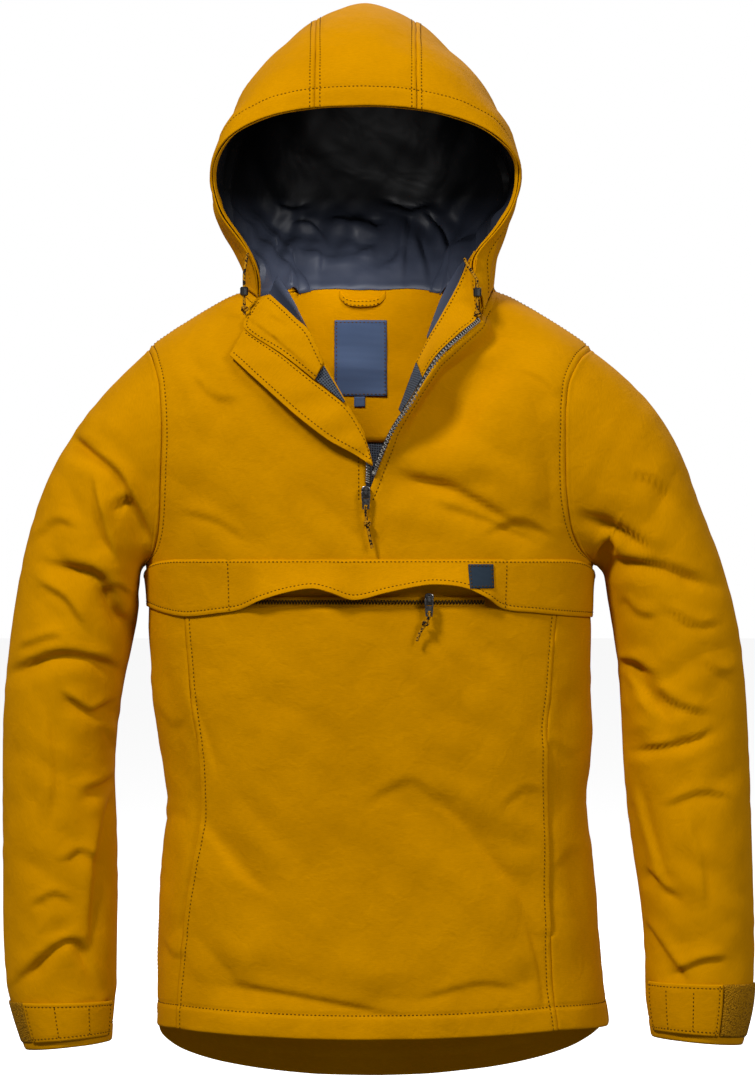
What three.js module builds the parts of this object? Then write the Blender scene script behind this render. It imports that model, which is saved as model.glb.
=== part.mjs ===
// Anorak pullover, hollow and filled out: a hooded shell with a half zip, a pocket band across the
// chest and set-in sleeves. Millimetres. +Z is up, the front faces -Y and +X is the side of the open
// zip edge. The origin is the middle of the neck opening.

import * as THREE from 'three';

// Cloth, seams and layers
const CLOTH = 1.5;
const FACING = 1;
const SEAM = 0.3;
const HALF_SEAM = SEAM / 2;
const LAID = 0.6;
const CORD = 3;

// Lengths of the body
const UNDERARM = -264;
const FRONT_HEM = -724;
const FRONT_DIP = 7;
const BACK_TAIL = 62;
const CENTRE = -4;

// The body's plan and its roll over the shoulders are both superellipses
const ROUND = 2.4;
const ROLL_START = -130;

// Cells of each panel
const ARM_CELLS = 8;
const HEM_CELLS = 10;
const BACK_CELLS = 12;
const FRONT_CELLS = 8;
const SIDE_CELLS = 4;

const GOLD = { color: 0xc08600, roughness: 0.85, metalness: 0 };
const SLATE = { color: 0x3a3f50, roughness: 0.5, metalness: 0 };
const NAVY = { color: 0x2a3140, roughness: 0.9, metalness: 0 };
const LABEL = { color: 0x35456b, roughness: 0.8, metalness: 0 };
const TAPE = { color: 0x1d1d1f, roughness: 0.9, metalness: 0 };
const GUNMETAL = { color: 0x4a4a4c, roughness: 0.35, metalness: 1 };
const HOOKS = { color: 0x8a6410, roughness: 1, metalness: 0 };
const CORDING = { color: 0x3a2c12, roughness: 0.9, metalness: 0 };

const rows = (names, values) =>
  values.map((row) => Object.fromEntries(names.split(' ').map((name, i) => [name, row[i]])));

// Half widths and depths of the body at each height
const TORSO = rows('z left right front back', [
  [-790, 212, 241, 112, 120],
  [-735, 212, 239, 112, 116],
  [-680, 212, 233, 112, 114],
  [-600, 211, 226, 112, 108],
  [-540, 206, 220, 113, 104],
  [-500, 202, 216, 115, 100],
  [-440, 211, 222, 118, 100],
  [-400, 217, 221, 120, 103],
  [-340, 220, 220, 122, 108],
  [-265, 224, 223, 123, 113],
  [-150, 252, 250, 122, 116],
  [-60, 255, 252, 118, 114],
  [80, 255, 252, 118, 114],
]);

// Height of the shoulder line above each distance from the centre
const SHOULDER = rows('x z', [
  [0, 75],
  [30, 70],
  [58, 57],
  [85, 38],
  [100, 26],
  [116, 13],
  [124, 9],
  [130, 7],
  [146, 0],
  [180, -20],
  [213, -42],
  [221, -50],
  [240, -66],
]);
const SHOULDER_POINT = 221;

// Armhole line: its share of the body's half width at each height
const ARMHOLE = rows('z left right', [
  [-264, 1, 1],
  [-250, 0.943, 0.925],
  [-222, 0.891, 0.85],
  [-190, 0.851, 0.802],
  [-140, 0.8115, 0.768],
  [-90, 0.815, 0.775],
  [-60, 0.847, 0.831],
  [-50, 0.867, 0.877],
]);

// Princess seams of the front, where the side panels join it
const PRINCESS = rows('z left right', [
  [-725, -192.6, 186],
  [-680, -190, 181],
  [-600, -181.4, 177.4],
  [-519, -167.6, 176],
  [-461, -167.6, 175],
  [-396, -176.9, 177.7],
  [-319, -182.7, 184.3],
  [-263, -186, 188],
]);

// Sleeve stations from the armhole to the cuff: the outer and inner outline seen from the front,
// the half depth, and the middle's place from front to back
const SLEEVE_LEFT = rows('k outer_x outer_z inner_x inner_z deep y', [
  [0, -221, -50, -224, -264, 84, 0],
  [1, -258, -86, -229, -272, 80, 0],
  [2, -290, -125, -231, -288, 76, -1],
  [3, -318, -172, -232, -312, 72, -2],
  [4, -338, -226, -238, -345, 69, -3],
  [5, -352, -290, -246, -382, 66, -4],
  [6, -361, -355, -252, -425, 64, -5],
  [7, -366, -420, -255, -470, 62, -6],
  [8, -366.5, -490, -253, -525, 60, -8],
  [9, -366, -560, -252, -580, 58, -11],
  [10, -365.5, -630, -252.5, -640, 55, -14],
  [11, -362, -680, -253, -685, 52, -17],
  [12, -355, -710, -255, -705, 50, -19],
  [13, -343, -747, -258, -738, 47, -20],
]);
const SLEEVE_RIGHT = rows('k outer_x outer_z inner_x inner_z deep y', [
  [0, 221, -50, 223, -264, 84, 0],
  [1, 256, -79, 229, -268, 80, 0],
  [2, 286, -112, 234, -276, 76, -1],
  [3, 310, -153, 238, -300, 72, -2],
  [4, 331, -210, 243, -330, 69, -3],
  [5, 350, -260, 248, -366, 66, -4],
  [6, 366, -320, 251, -410, 64, -5],
  [7, 374, -380, 253, -455, 62, -6],
  [8, 378, -450, 257, -505, 60, -8],
  [9, 380.5, -530, 263, -552, 58, -11],
  [10, 382.5, -600, 270, -600, 55, -14],
  [11, 383, -650, 274, -650, 52, -17],
  [12, 380.5, -700, 275, -695, 50, -19],
  [13, 371, -742, 281, -734, 47, -20],
]);
const SLEEVE_STEP = 0.5;
const CUFF = 13;

// Hood arches from the brim to the back of the neck: the crown, the widest point, and how square.
// The hood droops a little to its left, so its widest height and squareness differ by side.
const HOOD = rows('p crown_y crown_z wide_x wide_y z_left z_right square_left square_right', [
  [0, -118, 186, 153, -70, 115, 122, 2.5, 2.1],
  [1, -111, 212, 154, -56, 113, 122, 2.3, 2],
  [2, -88, 248, 154, -38, 109, 122, 2.05, 1.85],
  [3, -45, 281, 155, -15, 103, 120, 1.85, 1.67],
  [4, 8, 297, 155, 8, 100, 117, 1.75, 1.62],
  [5, 58, 292, 151, 32, 97, 109, 1.8, 1.7],
  [6, 103, 262, 145, 56, 95, 99, 1.9, 1.85],
  [7, 135, 212, 134, 76, 88, 89, 2, 2],
  [8, 150, 150, 120, 90, 76, 76, 2.1, 2.1],
  [9, 143, 86, 101, 96, 52, 52, 2.2, 2.2],
  [10, 89, 18, 66, 77.5, 17.5, 17.5, 2.4, 2.4],
]);
const CHEEK_CURVE = { left: 2.3, right: 3 };
const HOOD_SHIFT = -4;
const HOOD_CENTRE_HALF = 50;
const HOOD_ROWS = [0, 1, 2, 3, 4, 5.5, 7, 8.5, 10];

// Neck seam in plan, from the front edge of the hood to the middle of the back
const NECK = rows('p x y_left y_right', [
  [0, 113, -60, -77],
  [1, 118, -44, -58],
  [2, 122, -24, -30],
  [3, 124, 0, 0],
  [4, 124, 12, 12],
  [5, 120, 26, 26],
  [6, 114, 40, 40],
  [7, 106, 51, 51],
  [8, 97, 60, 60],
  [9, 87, 68, 68],
  [10, 75, 74, 74],
]);
const BACK_NECK_MIDDLE = 88;

// Edges of the front opening: the turned-out left edge and the zip edge on the right
const OPENING_LEFT = rows('x z', [
  [-4, -200.7],
  [-3.8, -171],
  [-4.4, -136],
  [-18.7, -112],
  [-43.6, -68],
  [-60, -35],
  [-99.5, 3.4],
]);
const OPENING_RIGHT = rows('x z', [
  [-4, -200.7],
  [7.5, -171.3],
  [22.9, -135.7],
  [43.1, -104.8],
  [66.9, -64.3],
  [90.7, -40.7],
  [109.8, -24],
]);
const OPENING_BOTTOM_ROW = 2;

// Folds: soft troughs along a segment, or ridges where the depth is negative. Face -1 is the front.
const BODY_FOLDS = rows('face x1 z1 x2 z2 width depth', [
  [-1, 44, -182, 148, -226, 24, 6],
  [-1, 9, -489, 137, -572, 26, 5],
  [-1, -153, -526, -101, -609, 26, 4],
  [-1, -138, -682, -10, -700, 24, 4],
  [1, -150, -250, -40, -310, 28, 7],
  [1, 140, -300, 60, -390, 26, 6],
  [1, -120, -520, 30, -570, 28, 6],
  [1, 130, -610, 60, -690, 26, 5],
]);
const SLEEVE_FOLDS = rows('face x1 z1 x2 z2 width depth', [
  [-1, -290, -141, -215, -184, 18, 8],
  [-1, -244, -202, -220, -234, 16, 8],
  [-1, -300, -264, -236, -323, 18, 9],
  [-1, -343, -367, -290, -352, 14, 6],
  [-1, -281, -405, -255, -411, 14, 4],
  [-1, -258, -502, -278, -645, 15, 6],
  [-1, -332, -663, -273, -655, 15, 5],
  [1, -300, -230, -240, -280, 20, 8],
  [1, -345, -390, -270, -420, 18, 7],
  [1, -290, -520, -330, -610, 18, 6],
  [-1, 219, -215, 288, -251, 17, 9],
  [-1, 237, -261, 340, -282, 16, 7],
  [-1, 303, -371, 346, -350, 14, 5],
  [-1, 257, -385, 287, -416, 15, 7],
  [-1, 270, -442, 342, -425, 16, 6],
  [-1, 261, -508, 283, -576, 15, 5],
  [-1, 278, -684, 310, -701, 14, 4],
  [1, 300, -220, 240, -270, 20, 8],
  [1, 350, -380, 280, -415, 18, 7],
  [1, 300, -530, 345, -610, 18, 6],
]);

const vector = (x, y, z) => new THREE.Vector3(x, y, z);
const lerp = THREE.MathUtils.lerp;
const clamp = THREE.MathUtils.clamp;
const steps = (count) => Array.from({ length: count + 1 }, (_, i) => i);

// Smooth curve through one column of a table, Catmull-Rom slopes, held beyond its ends
function along(table, key, column, at) {
  const last = table.length - 1;
  let i = 0;
  while (i < last - 1 && at > table[i + 1][key]) i++;
  const slope = (j) => {
    const before = table[Math.max(j - 1, 0)];
    const after = table[Math.min(j + 1, last)];
    return (after[column] - before[column]) / (after[key] - before[key]);
  };
  const span = table[i + 1][key] - table[i][key];
  const t = clamp((at - table[i][key]) / span, 0, 1);
  const rise = t * t * (3 - 2 * t);
  const leave = t * (1 - t) * (1 - t) * span * slope(i);
  const arrive = t * t * (t - 1) * span * slope(i + 1);
  return lerp(table[i][column], table[i + 1][column], rise) + leave + arrive;
}

const sideName = (side) => (side < 0 ? 'left' : 'right');
const halfWidth = (side, z) => along(TORSO, 'z', sideName(side), z);
const halfDepth = (face, z) => along(TORSO, 'z', face < 0 ? 'front' : 'back', z);
const shoulder = (x) => along(SHOULDER, 'x', 'z', Math.abs(x));
const roll = (x, z) => Math.max(0, (z - ROLL_START) / (shoulder(x) - ROLL_START));

// Sum of the folds' depths at a place on one face
function foldDepth(folds, face, x, z) {
  let depth = 0;
  for (const fold of folds) {
    if (fold.face !== face) continue;
    const run = Math.hypot(fold.x2 - fold.x1, fold.z2 - fold.z1);
    const cos = (fold.x2 - fold.x1) / run;
    const sin = (fold.z2 - fold.z1) / run;
    const on = (x - fold.x1) * cos + (z - fold.z1) * sin;
    const off = (z - fold.z1) * cos - (x - fold.x1) * sin;
    const past = Math.max(0, -on, on - run);
    depth += fold.depth * Math.exp(-(off * off + past * past) / (fold.width * fold.width));
  }
  return depth;
}

// How far a place lies outside the body's smooth form, zero on it; its slope is the outward direction
function bodyField(x, y, z) {
  const across = Math.abs(x) / halfWidth(Math.sign(x) || 1, z);
  const deep = Math.abs(y) / halfDepth(Math.sign(y) || 1, z);
  return deep ** ROUND - (1 - across ** ROUND) * (1 - roll(x, z) ** ROUND);
}

function bodyOut({ x, y, z }) {
  const d = 0.4;
  return vector(
    bodyField(x + d, y, z) - bodyField(x - d, y, z),
    bodyField(x, y + d, z) - bodyField(x, y - d, z),
    bodyField(x, y, z + d) - bodyField(x, y, z - d),
  ).normalize();
}

// Place on the body at a height and an angle from the middle of the front or back, negative on the left
function bodyPoint(angle, z, face) {
  const side = angle < 0 ? -1 : 1;
  const x = side * halfWidth(side, z) * Math.abs(Math.sin(angle)) ** (2 / ROUND);
  const left = Math.max(0, 1 - roll(x, z) ** ROUND);
  const cos = Math.max(0, Math.cos(angle));
  const y = face * halfDepth(face, z) * (cos * cos * left) ** (1 / ROUND);
  const smooth = vector(x, y, z);
  const out = bodyOut(smooth);
  const fade = Math.min(1, 2 * cos) * Math.min(1, 4 * left);
  return { at: smooth.addScaledVector(out, -fade * foldDepth(BODY_FOLDS, face, x, z)), out };
}

const angleAt = (x, z) => {
  const side = x < 0 ? -1 : 1;
  return side * Math.asin(Math.min(1, Math.abs(x) / halfWidth(side, z)) ** (ROUND / 2));
};
const bodyAt = (x, z, face) => bodyPoint(angleAt(x, z), z, face);

// Place on the shoulders above a point of the plan
function onShoulders(x, y) {
  const across = (Math.abs(x) / halfWidth(Math.sign(x) || 1, 0)) ** ROUND;
  const deep = (Math.abs(y) / halfDepth(Math.sign(y) || 1, 0)) ** ROUND;
  const up = (1 - deep / (1 - across)) ** (1 / ROUND);
  return vector(x, y, lerp(ROLL_START, shoulder(x), up));
}

function neckSeam(p, side) {
  return onShoulders(side * along(NECK, 'p', 'x', p), along(NECK, 'p', `y_${sideName(side)}`, p));
}

function backNeck(x) {
  const end = NECK[NECK.length - 1];
  return onShoulders(x, lerp(BACK_NECK_MIDDLE, end.y_left, (x / end.x) ** 2));
}

// Outward direction at each point of a sheet of quads, from the quads round it
function sheetNormals(points, quads) {
  const normals = points.map(() => vector(0, 0, 0));
  for (const [a, b, c, d] of quads) {
    const one = points[c].at.clone().sub(points[a].at);
    const two = points[d].at.clone().sub(points[b].at);
    const normal = one.cross(two);
    for (const i of new Set([a, b, c, d])) normals[i].add(normal);
  }
  return normals.map((normal) => normal.normalize());
}

// A sheet of quads as a closed wall. Its points are the outer face, counted anticlockwise from
// outside; the inner face lies one thickness behind, or where a point's own inward step says.
function wall(points, quads, thickness) {
  const normals = sheetNormals(points, quads);
  const count = points.length;
  const behind = points.map(({ at, inward }, i) =>
    inward ? at.clone().add(inward) : at.clone().addScaledVector(normals[i], -thickness));
  const index = [];
  const once = new Map();
  const triangle = (a, b, c) => {
    if (a === b || b === c || a === c) return;
    index.push(a, b, c, a + count, c + count, b + count);
    for (const [from, to] of [[a, b], [b, c], [c, a]]) {
      if (!once.delete(`${to} ${from}`)) once.set(`${from} ${to}`, [from, to]);
    }
  };
  for (const [a, b, c, d] of quads) {
    triangle(a, b, c);
    triangle(a, c, d);
  }
  for (const [from, to] of once.values()) {
    index.push(to, from, from + count, to, from + count, to + count);
  }
  const flat = [...points.map(({ at }) => at), ...behind].flatMap((p) => [p.x, p.y, p.z]);
  const geometry = new THREE.BufferGeometry();
  geometry.setAttribute('position', new THREE.Float32BufferAttribute(flat, 3));
  geometry.setIndex(index);
  return geometry;
}

// Quads of rows of points; seen from outside, columns run to the right and rows upwards
function gridQuads(grid, mirrored) {
  const width = grid[0].length;
  return steps(grid.length - 2).flatMap((j) => steps(width - 2).map((i) => {
    const a = j * width + i;
    const quad = [a, a + 1, a + 1 + width, a + width];
    return mirrored ? quad.reverse() : quad;
  }));
}

function gridWall(grid, thickness, mirrored = false) {
  return wall(grid.flat(), gridQuads(grid, mirrored), thickness);
}

// Points of a sheet moved out along their own directions
const moved = (point, by) => ({ at: point.at.clone().addScaledVector(point.out, by), out: point.out });
const sewn = (point, shift = vector(0, 0, 0), thickness = CLOTH) => ({
  at: point.at.clone().add(shift),
  out: point.out,
  inward: point.out.clone().multiplyScalar(-thickness),
});

const anorak = new THREE.Group();

function add(name, geometry, finish) {
  const mesh = new THREE.Mesh(geometry, new THREE.MeshStandardMaterial(finish));
  mesh.name = name;
  anorak.add(mesh);
  return mesh;
}

// Armholes: the line on the body, from the underarm (0) over the front to the shoulder point (pi)
// and down the back (to two pi)
function armholeLine(side, turn) {
  const up = (1 - Math.cos(turn)) / 2;
  const z = lerp(UNDERARM, shoulder(SHOULDER_POINT), up);
  const top = SHOULDER_POINT / halfWidth(side, shoulder(SHOULDER_POINT));
  const last = ARMHOLE.length - 1;
  const table = [...ARMHOLE.slice(0, last), { z: shoulder(SHOULDER_POINT), left: top, right: top }];
  const share = along(table, 'z', sideName(side), z);
  return bodyPoint(side * Math.asin(Math.min(1, share) ** (ROUND / 2)), z, Math.sin(turn) < 0 ? 1 : -1);
}

const sleeveTable = (side) => (side < 0 ? SLEEVE_LEFT : SLEEVE_RIGHT);

// Oval ring of a sleeve at station k
function sleeveOval(side, k, turn) {
  const at = (column) => along(sleeveTable(side), 'k', column, k);
  const outer = vector(at('outer_x'), at('y'), at('outer_z'));
  const inner = vector(at('inner_x'), at('y'), at('inner_z'));
  const point = inner.lerp(outer, (1 - Math.cos(turn)) / 2);
  point.y -= at('deep') * Math.sin(turn);
  return point;
}

// The sleeve starts on the armhole line and turns into its ovals over the first stations
const SLEEVE_BLEND = 3;
function sleeveSmooth(side, k, turn) {
  const point = sleeveOval(side, k, turn);
  const share = Math.max(0, 1 - k / SLEEVE_BLEND) ** 2;
  const miss = armholeLine(side, turn).at.sub(sleeveOval(side, 0, turn));
  return point.addScaledVector(miss, share);
}

function sleevePoint(side, k, turn) {
  const smooth = sleeveSmooth(side, k, turn);
  const d = 0.02;
  const lengthwise = sleeveSmooth(side, k + d, turn).sub(smooth);
  const round = sleeveSmooth(side, k, turn + d).sub(sleeveSmooth(side, k, turn - d));
  const out = round.cross(lengthwise).normalize().multiplyScalar(-side);
  const face = Math.sin(turn) >= 0 ? -1 : 1;
  const fade = Math.min(1, 2 * Math.abs(Math.sin(turn))) * Math.min(1, k / 1.5);
  const depth = fade * foldDepth(SLEEVE_FOLDS, face, smooth.x, smooth.z);
  return { at: smooth.addScaledVector(out, -depth), out };
}

// Armhole seam: both walls end on the plane that halves the angle between them
const MITRE_LIMIT = 2.5;
const ARM_GAP = 0.2;
function armholeSeam(side, turn, towardsSleeve) {
  const body = armholeLine(side, turn);
  const sleeve = sleevePoint(side, 0, turn);
  const half = body.out.clone().add(sleeve.out).normalize();
  const inward = half.clone().multiplyScalar(-CLOTH * Math.min(1 / half.dot(body.out), MITRE_LIMIT));
  const lengthwise = sleevePoint(side, 0.3, turn).at.sub(body.at);
  const d = 0.02;
  const round = armholeLine(side, turn + d).at.sub(armholeLine(side, turn - d).at);
  const across = half.clone().cross(round).normalize();
  if (across.dot(lengthwise) < 0) across.negate();
  const at = body.at.clone().addScaledVector(across, towardsSleeve * ARM_GAP);
  return { at, out: body.out, inward };
}

// Moves a point off the plane y = 0, where front and back pieces meet
const offMiddle = (point, face) => ({ ...point, at: point.at.clone().add(vector(0, face * HALF_SEAM, 0)) });

// Coons patch between four edges given as lists of [angle, z]
function patch(bottom, top, inner, outer, shares) {
  const across = bottom.length - 1;
  return inner.map((_, j) => bottom.map((__, i) => {
    const s = i / across;
    const t = shares[j];
    return [0, 1].map((c) =>
      lerp(inner[j][c], outer[j][c], s) + lerp(bottom[i][c], top[i][c], t)
      - lerp(lerp(bottom[0][c], bottom[across][c], s), lerp(top[0][c], top[across][c], s), t));
  }));
}

const ARM_TURNS = steps(ARM_CELLS).map((j) => (j * Math.PI) / ARM_CELLS);
const ARM_SHARES = ARM_TURNS.map((turn) => (1 - Math.cos(turn)) / 2);
const flatPlace = ({ x, z }) => [angleAt(x, z), z];
const armEdge = (side, face) =>
  ARM_TURNS.map((turn) => flatPlace(armholeLine(side, face < 0 ? turn : 2 * Math.PI - turn).at));
const shoulderLine = (side, cells) => steps(cells).slice(1).map((i) => {
  const x = side * lerp(NECK[3].x, SHOULDER_POINT, i / cells);
  return [angleAt(x, shoulder(x)), shoulder(x)];
});
const princess = (side, z) => along(PRINCESS, 'z', sideName(side), z);
const sideAngle = (side, share, z) => lerp(angleAt(princess(side, z), z), (side * Math.PI) / 2, share);
const frontX = (share, z) =>
  lerp(CENTRE, princess(Math.sign(share) || 1, z), Math.abs(share));

// Front chest: two halves of a patch, joined below the opening. The zip edge on the right stands
// forward, with a shallow valley beside it.
const ZIP_LIFT = 20;
const ZIP_LIFT_WIDTH = 20;
const ZIP_VALLEY = 7;
const ZIP_VALLEY_AT = 44;
const ZIP_VALLEY_WIDTH = 16;

function distanceToLine(line, x, z) {
  let best = Infinity;
  for (let i = 0; i < line.length - 1; i++) {
    const run = vector(line[i + 1].x - line[i].x, 0, line[i + 1].z - line[i].z);
    const to = vector(x - line[i].x, 0, z - line[i].z);
    const t = clamp(to.dot(run) / run.lengthSq(), 0, 1);
    best = Math.min(best, to.addScaledVector(run, -t).length());
  }
  return best;
}

function zipLift(x, z) {
  const d = distanceToLine(OPENING_RIGHT, x, z);
  const low = THREE.MathUtils.smoothstep(z, -188, -105);
  const high = 1 - THREE.MathUtils.smoothstep(z, -95, -26);
  const valley = ZIP_VALLEY * Math.exp(-(((d - ZIP_VALLEY_AT) / ZIP_VALLEY_WIDTH) ** 2));
  return (ZIP_LIFT * Math.exp(-d / ZIP_LIFT_WIDTH) - valley) * low * high;
}

function chestPoint(x, z) {
  const point = bodyAt(x, z, -1);
  if (x > CENTRE) point.at.y -= zipLift(x, z);
  return point;
}

const CHEST_CELLS = FRONT_CELLS + SIDE_CELLS;

// Rows of the chest: how far up the armhole (in its cells) each row of the inner edge ends
const CHEST_ROWS = [0, 1, 2, 3, 3.5, 4, 4.5, 5, 5.5, 6, 6.5, 7, ARM_CELLS];

// Place on the armhole seam between two of its corners, so that facets on both sides agree
function armholeStop(side, face, stop, towardsSleeve) {
  const turnAt = (j) => (face < 0 ? ARM_TURNS[j] : 2 * Math.PI - ARM_TURNS[j]);
  const low = Math.min(Math.floor(stop), ARM_CELLS - 1);
  const ends = [low, low + 1].map((j) =>
    offMiddleEnds(armholeSeam(side, turnAt(j), towardsSleeve), j, face));
  const mix = (key) => ends[0][key].clone().lerp(ends[1][key], stop - low);
  return { at: mix('at'), out: mix('out').normalize(), inward: mix('inward') };
}

function chestGrid(side) {
  const seam = UNDERARM;
  const frontXs = steps(FRONT_CELLS).map((i) => frontX((side * i) / FRONT_CELLS, seam));
  const front = frontXs.map((x) => flatPlace({ x, z: seam }));
  const flank = steps(SIDE_CELLS).slice(1).map((i) => [sideAngle(side, i / SIDE_CELLS, seam), seam]);
  const bottom = [...front, ...flank];
  const opening = side < 0 ? OPENING_LEFT : OPENING_RIGHT;
  const slit = steps(OPENING_BOTTOM_ROW).slice(0, -1).map((j) =>
    flatPlace({ x: CENTRE, z: lerp(seam, opening[0].z, j / OPENING_BOTTOM_ROW) }));
  const collar = [0, 1, 2, 3].map((p) => flatPlace(neckSeam(p, side)));
  const inner = [...slit, ...opening.map(flatPlace), ...collar];
  const outer = CHEST_ROWS.map((stop) => armholeStop(side, -1, stop, -1));
  const top = steps(CHEST_CELLS).map((i) => {
    const x = side * lerp(NECK[3].x, SHOULDER_POINT, i / CHEST_CELLS);
    return [angleAt(x, shoulder(x)), shoulder(x)];
  });
  const shares = CHEST_ROWS.map((stop) => stop / ARM_CELLS);
  const places = patch(bottom, top, inner, outer.map(({ at }) => flatPlace(at)), shares);
  const last = CHEST_ROWS.length - 1;
  return places.map((row, j) => row.map(([angle, z], i) => {
    if (i === CHEST_CELLS) return outer[j];
    const point = bodyPoint(angle, z, -1);
    if (j === 0) return sewn(point);
    if (j === last) return offMiddle(sewn(point), -1);
    if (side > 0 && j > OPENING_BOTTOM_ROW) point.at.y -= zipLift(point.at.x, z);
    return { at: point.at, out: point.out };
  }));
}

// The ends of an armhole edge lie on the plane where front and back meet
function offMiddleEnds(point, j, face = -1) {
  return j === 0 || j === ARM_CELLS ? offMiddle(point, face) : point;
}

function frontChest() {
  const halves = { '-1': chestGrid(-1), 1: chestGrid(1) };
  const points = [];
  const numbers = new Map();
  const number = (side, i, j) => {
    const key = i === 0 && j <= OPENING_BOTTOM_ROW ? `${j}` : `${side} ${i} ${j}`;
    if (!numbers.has(key)) {
      numbers.set(key, points.length);
      points.push(halves[side][j][i]);
    }
    return numbers.get(key);
  };
  const quads = [];
  for (const side of [-1, 1]) {
    for (let j = 0; j < CHEST_ROWS.length - 1; j++) {
      for (let i = 0; i < CHEST_CELLS; i++) {
        const corners = [[i, j], [i + 1, j], [i + 1, j + 1], [i, j + 1]];
        const quad = corners.map(([column, row]) => number(side, column, row));
        quads.push(side < 0 ? quad.reverse() : quad);
      }
    }
  }
  return wall(points, quads, CLOTH);
}
add('front_chest', frontChest(), GOLD);

// Lower front and side panels. The hand pockets' mouths are in the princess seams, where the front
// panel's edge stands a little proud.
const POCKET_LOW = -640;
const POCKET_HIGH = -432;
const POCKET_LIP = 2.5;
const lowTop = UNDERARM - SEAM;
const lowShares = steps(HEM_CELLS).map((j) => j / HEM_CELLS);
const frontHem = (share) => FRONT_HEM - FRONT_DIP * (1 - share * share);

function lowerFrontPoint(share, z) {
  return bodyAt(frontX(share, z), z, -1);
}

const frontLower = lowShares.map((up) => steps(2 * FRONT_CELLS).map((i) => {
  const share = i / FRONT_CELLS - 1;
  const z = lerp(frontHem(share), lowTop, up);
  const point = lowerFrontPoint(share, z);
  if (Math.abs(share) < 1) return up === 1 ? sewn(point) : point;
  const lip = z > POCKET_LOW && z < POCKET_HIGH ? POCKET_LIP : 0;
  return sewn(moved(point, lip), vector(-share * HALF_SEAM, 0, 0));
}));
add('front_lower', gridWall(frontLower, CLOTH), GOLD);

function sidePanel(side) {
  return lowShares.map((up) => steps(SIDE_CELLS).map((i) => {
    const z = lerp(FRONT_HEM, lowTop, up);
    const point = bodyPoint(sideAngle(side, i / SIDE_CELLS, z), z, -1);
    if (i === 0) return sewn(point, vector(side * HALF_SEAM, 0, 0));
    if (i === SIDE_CELLS) return offMiddle(sewn(point), -1);
    return up === 1 ? sewn(point) : point;
  }));
}
add('side_left', gridWall(sidePanel(-1), CLOTH, true), GOLD);
add('side_right', gridWall(sidePanel(1), CLOTH), GOLD);

// Back: one panel from the neck and shoulders to the dropped tail
const TAIL_CURVE = 1.7;
const TAIL_END = { left: 1, right: 0.87 };
const NECK_STOPS = [8.5, 7, 5.5, 4, 3];
const BACK_NECK_STEPS = [0, 25, 50, 75];

function backHalf(side) {
  const angles = steps(BACK_CELLS).map((i) => (side * i * Math.PI) / 2 / BACK_CELLS);
  const low = lowShares.slice(0, -1).map((up) => angles.map((angle, i) => {
    const share = i / BACK_CELLS;
    const hem = FRONT_HEM - BACK_TAIL * (1 - Math.min(1, share / TAIL_END[sideName(side)]) ** TAIL_CURVE);
    const point = bodyPoint(angle, lerp(hem, lowTop, up), 1);
    return i === BACK_CELLS ? offMiddle(sewn(point), 1) : point;
  }));
  const neck = [
    ...BACK_NECK_STEPS.map((x) => flatPlace(backNeck(side * x))),
    ...NECK_STOPS.map((p) => flatPlace(neckSeam(p, side))),
  ];
  const top = [...neck, ...shoulderLine(side, BACK_CELLS + 1 - neck.length)];
  const bottom = angles.map((angle) => [angle, UNDERARM]);
  const middle = ARM_SHARES.map((t) => [0, lerp(UNDERARM, backNeck(0).z, t)]);
  const places = patch(bottom, top, middle, armEdge(side, 1), ARM_SHARES);
  const high = places.map((row, j) => row.map(([angle, z], i) => {
    if (i === BACK_CELLS) return offMiddleEnds(armholeSeam(side, 2 * Math.PI - ARM_TURNS[j], -1), j, 1);
    const point = bodyPoint(angle, z, 1);
    return j === ARM_CELLS && i >= neck.length - 1 ? offMiddle(sewn(point), 1) : point;
  }));
  return [...low, ...high];
}
const backRight = backHalf(1);
const backLeft = backHalf(-1);
const backGrid = backRight.map((row, j) => [...row.slice(1).reverse(), ...backLeft[j]]);
add('back', gridWall(backGrid, CLOTH), GOLD);

// Sleeves: a front half and a back half, sewn along the underarm and the outer arm
function sleeveGrid(side, face) {
  const turns = face < 0 ? ARM_TURNS : ARM_TURNS.map((turn) => 2 * Math.PI - turn);
  return steps(CUFF / SLEEVE_STEP).map((row) => turns.map((turn, i) => {
    const k = row * SLEEVE_STEP;
    const edge = i === 0 || i === ARM_CELLS;
    const point = row === 0 ? armholeSeam(side, turn, 1) : sleevePoint(side, k, turn);
    if (!edge) return row === 0 ? point : { at: point.at, out: point.out };
    return offMiddle(row === 0 ? point : sewn(point), face);
  })).reverse();
}
for (const side of [-1, 1]) {
  add(`sleeve_${sideName(side)}_front`, gridWall(sleeveGrid(side, -1), CLOTH, side < 0), GOLD);
  add(`sleeve_${sideName(side)}_back`, gridWall(sleeveGrid(side, 1), CLOTH, side > 0), GOLD);
}

// The hood's front edges are drawn in towards the face above the neck
const RIM_TUCK = { left: 3, right: 16 };
const TUCK_Z = 36;
const TUCK_WIDTH = 26;

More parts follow.
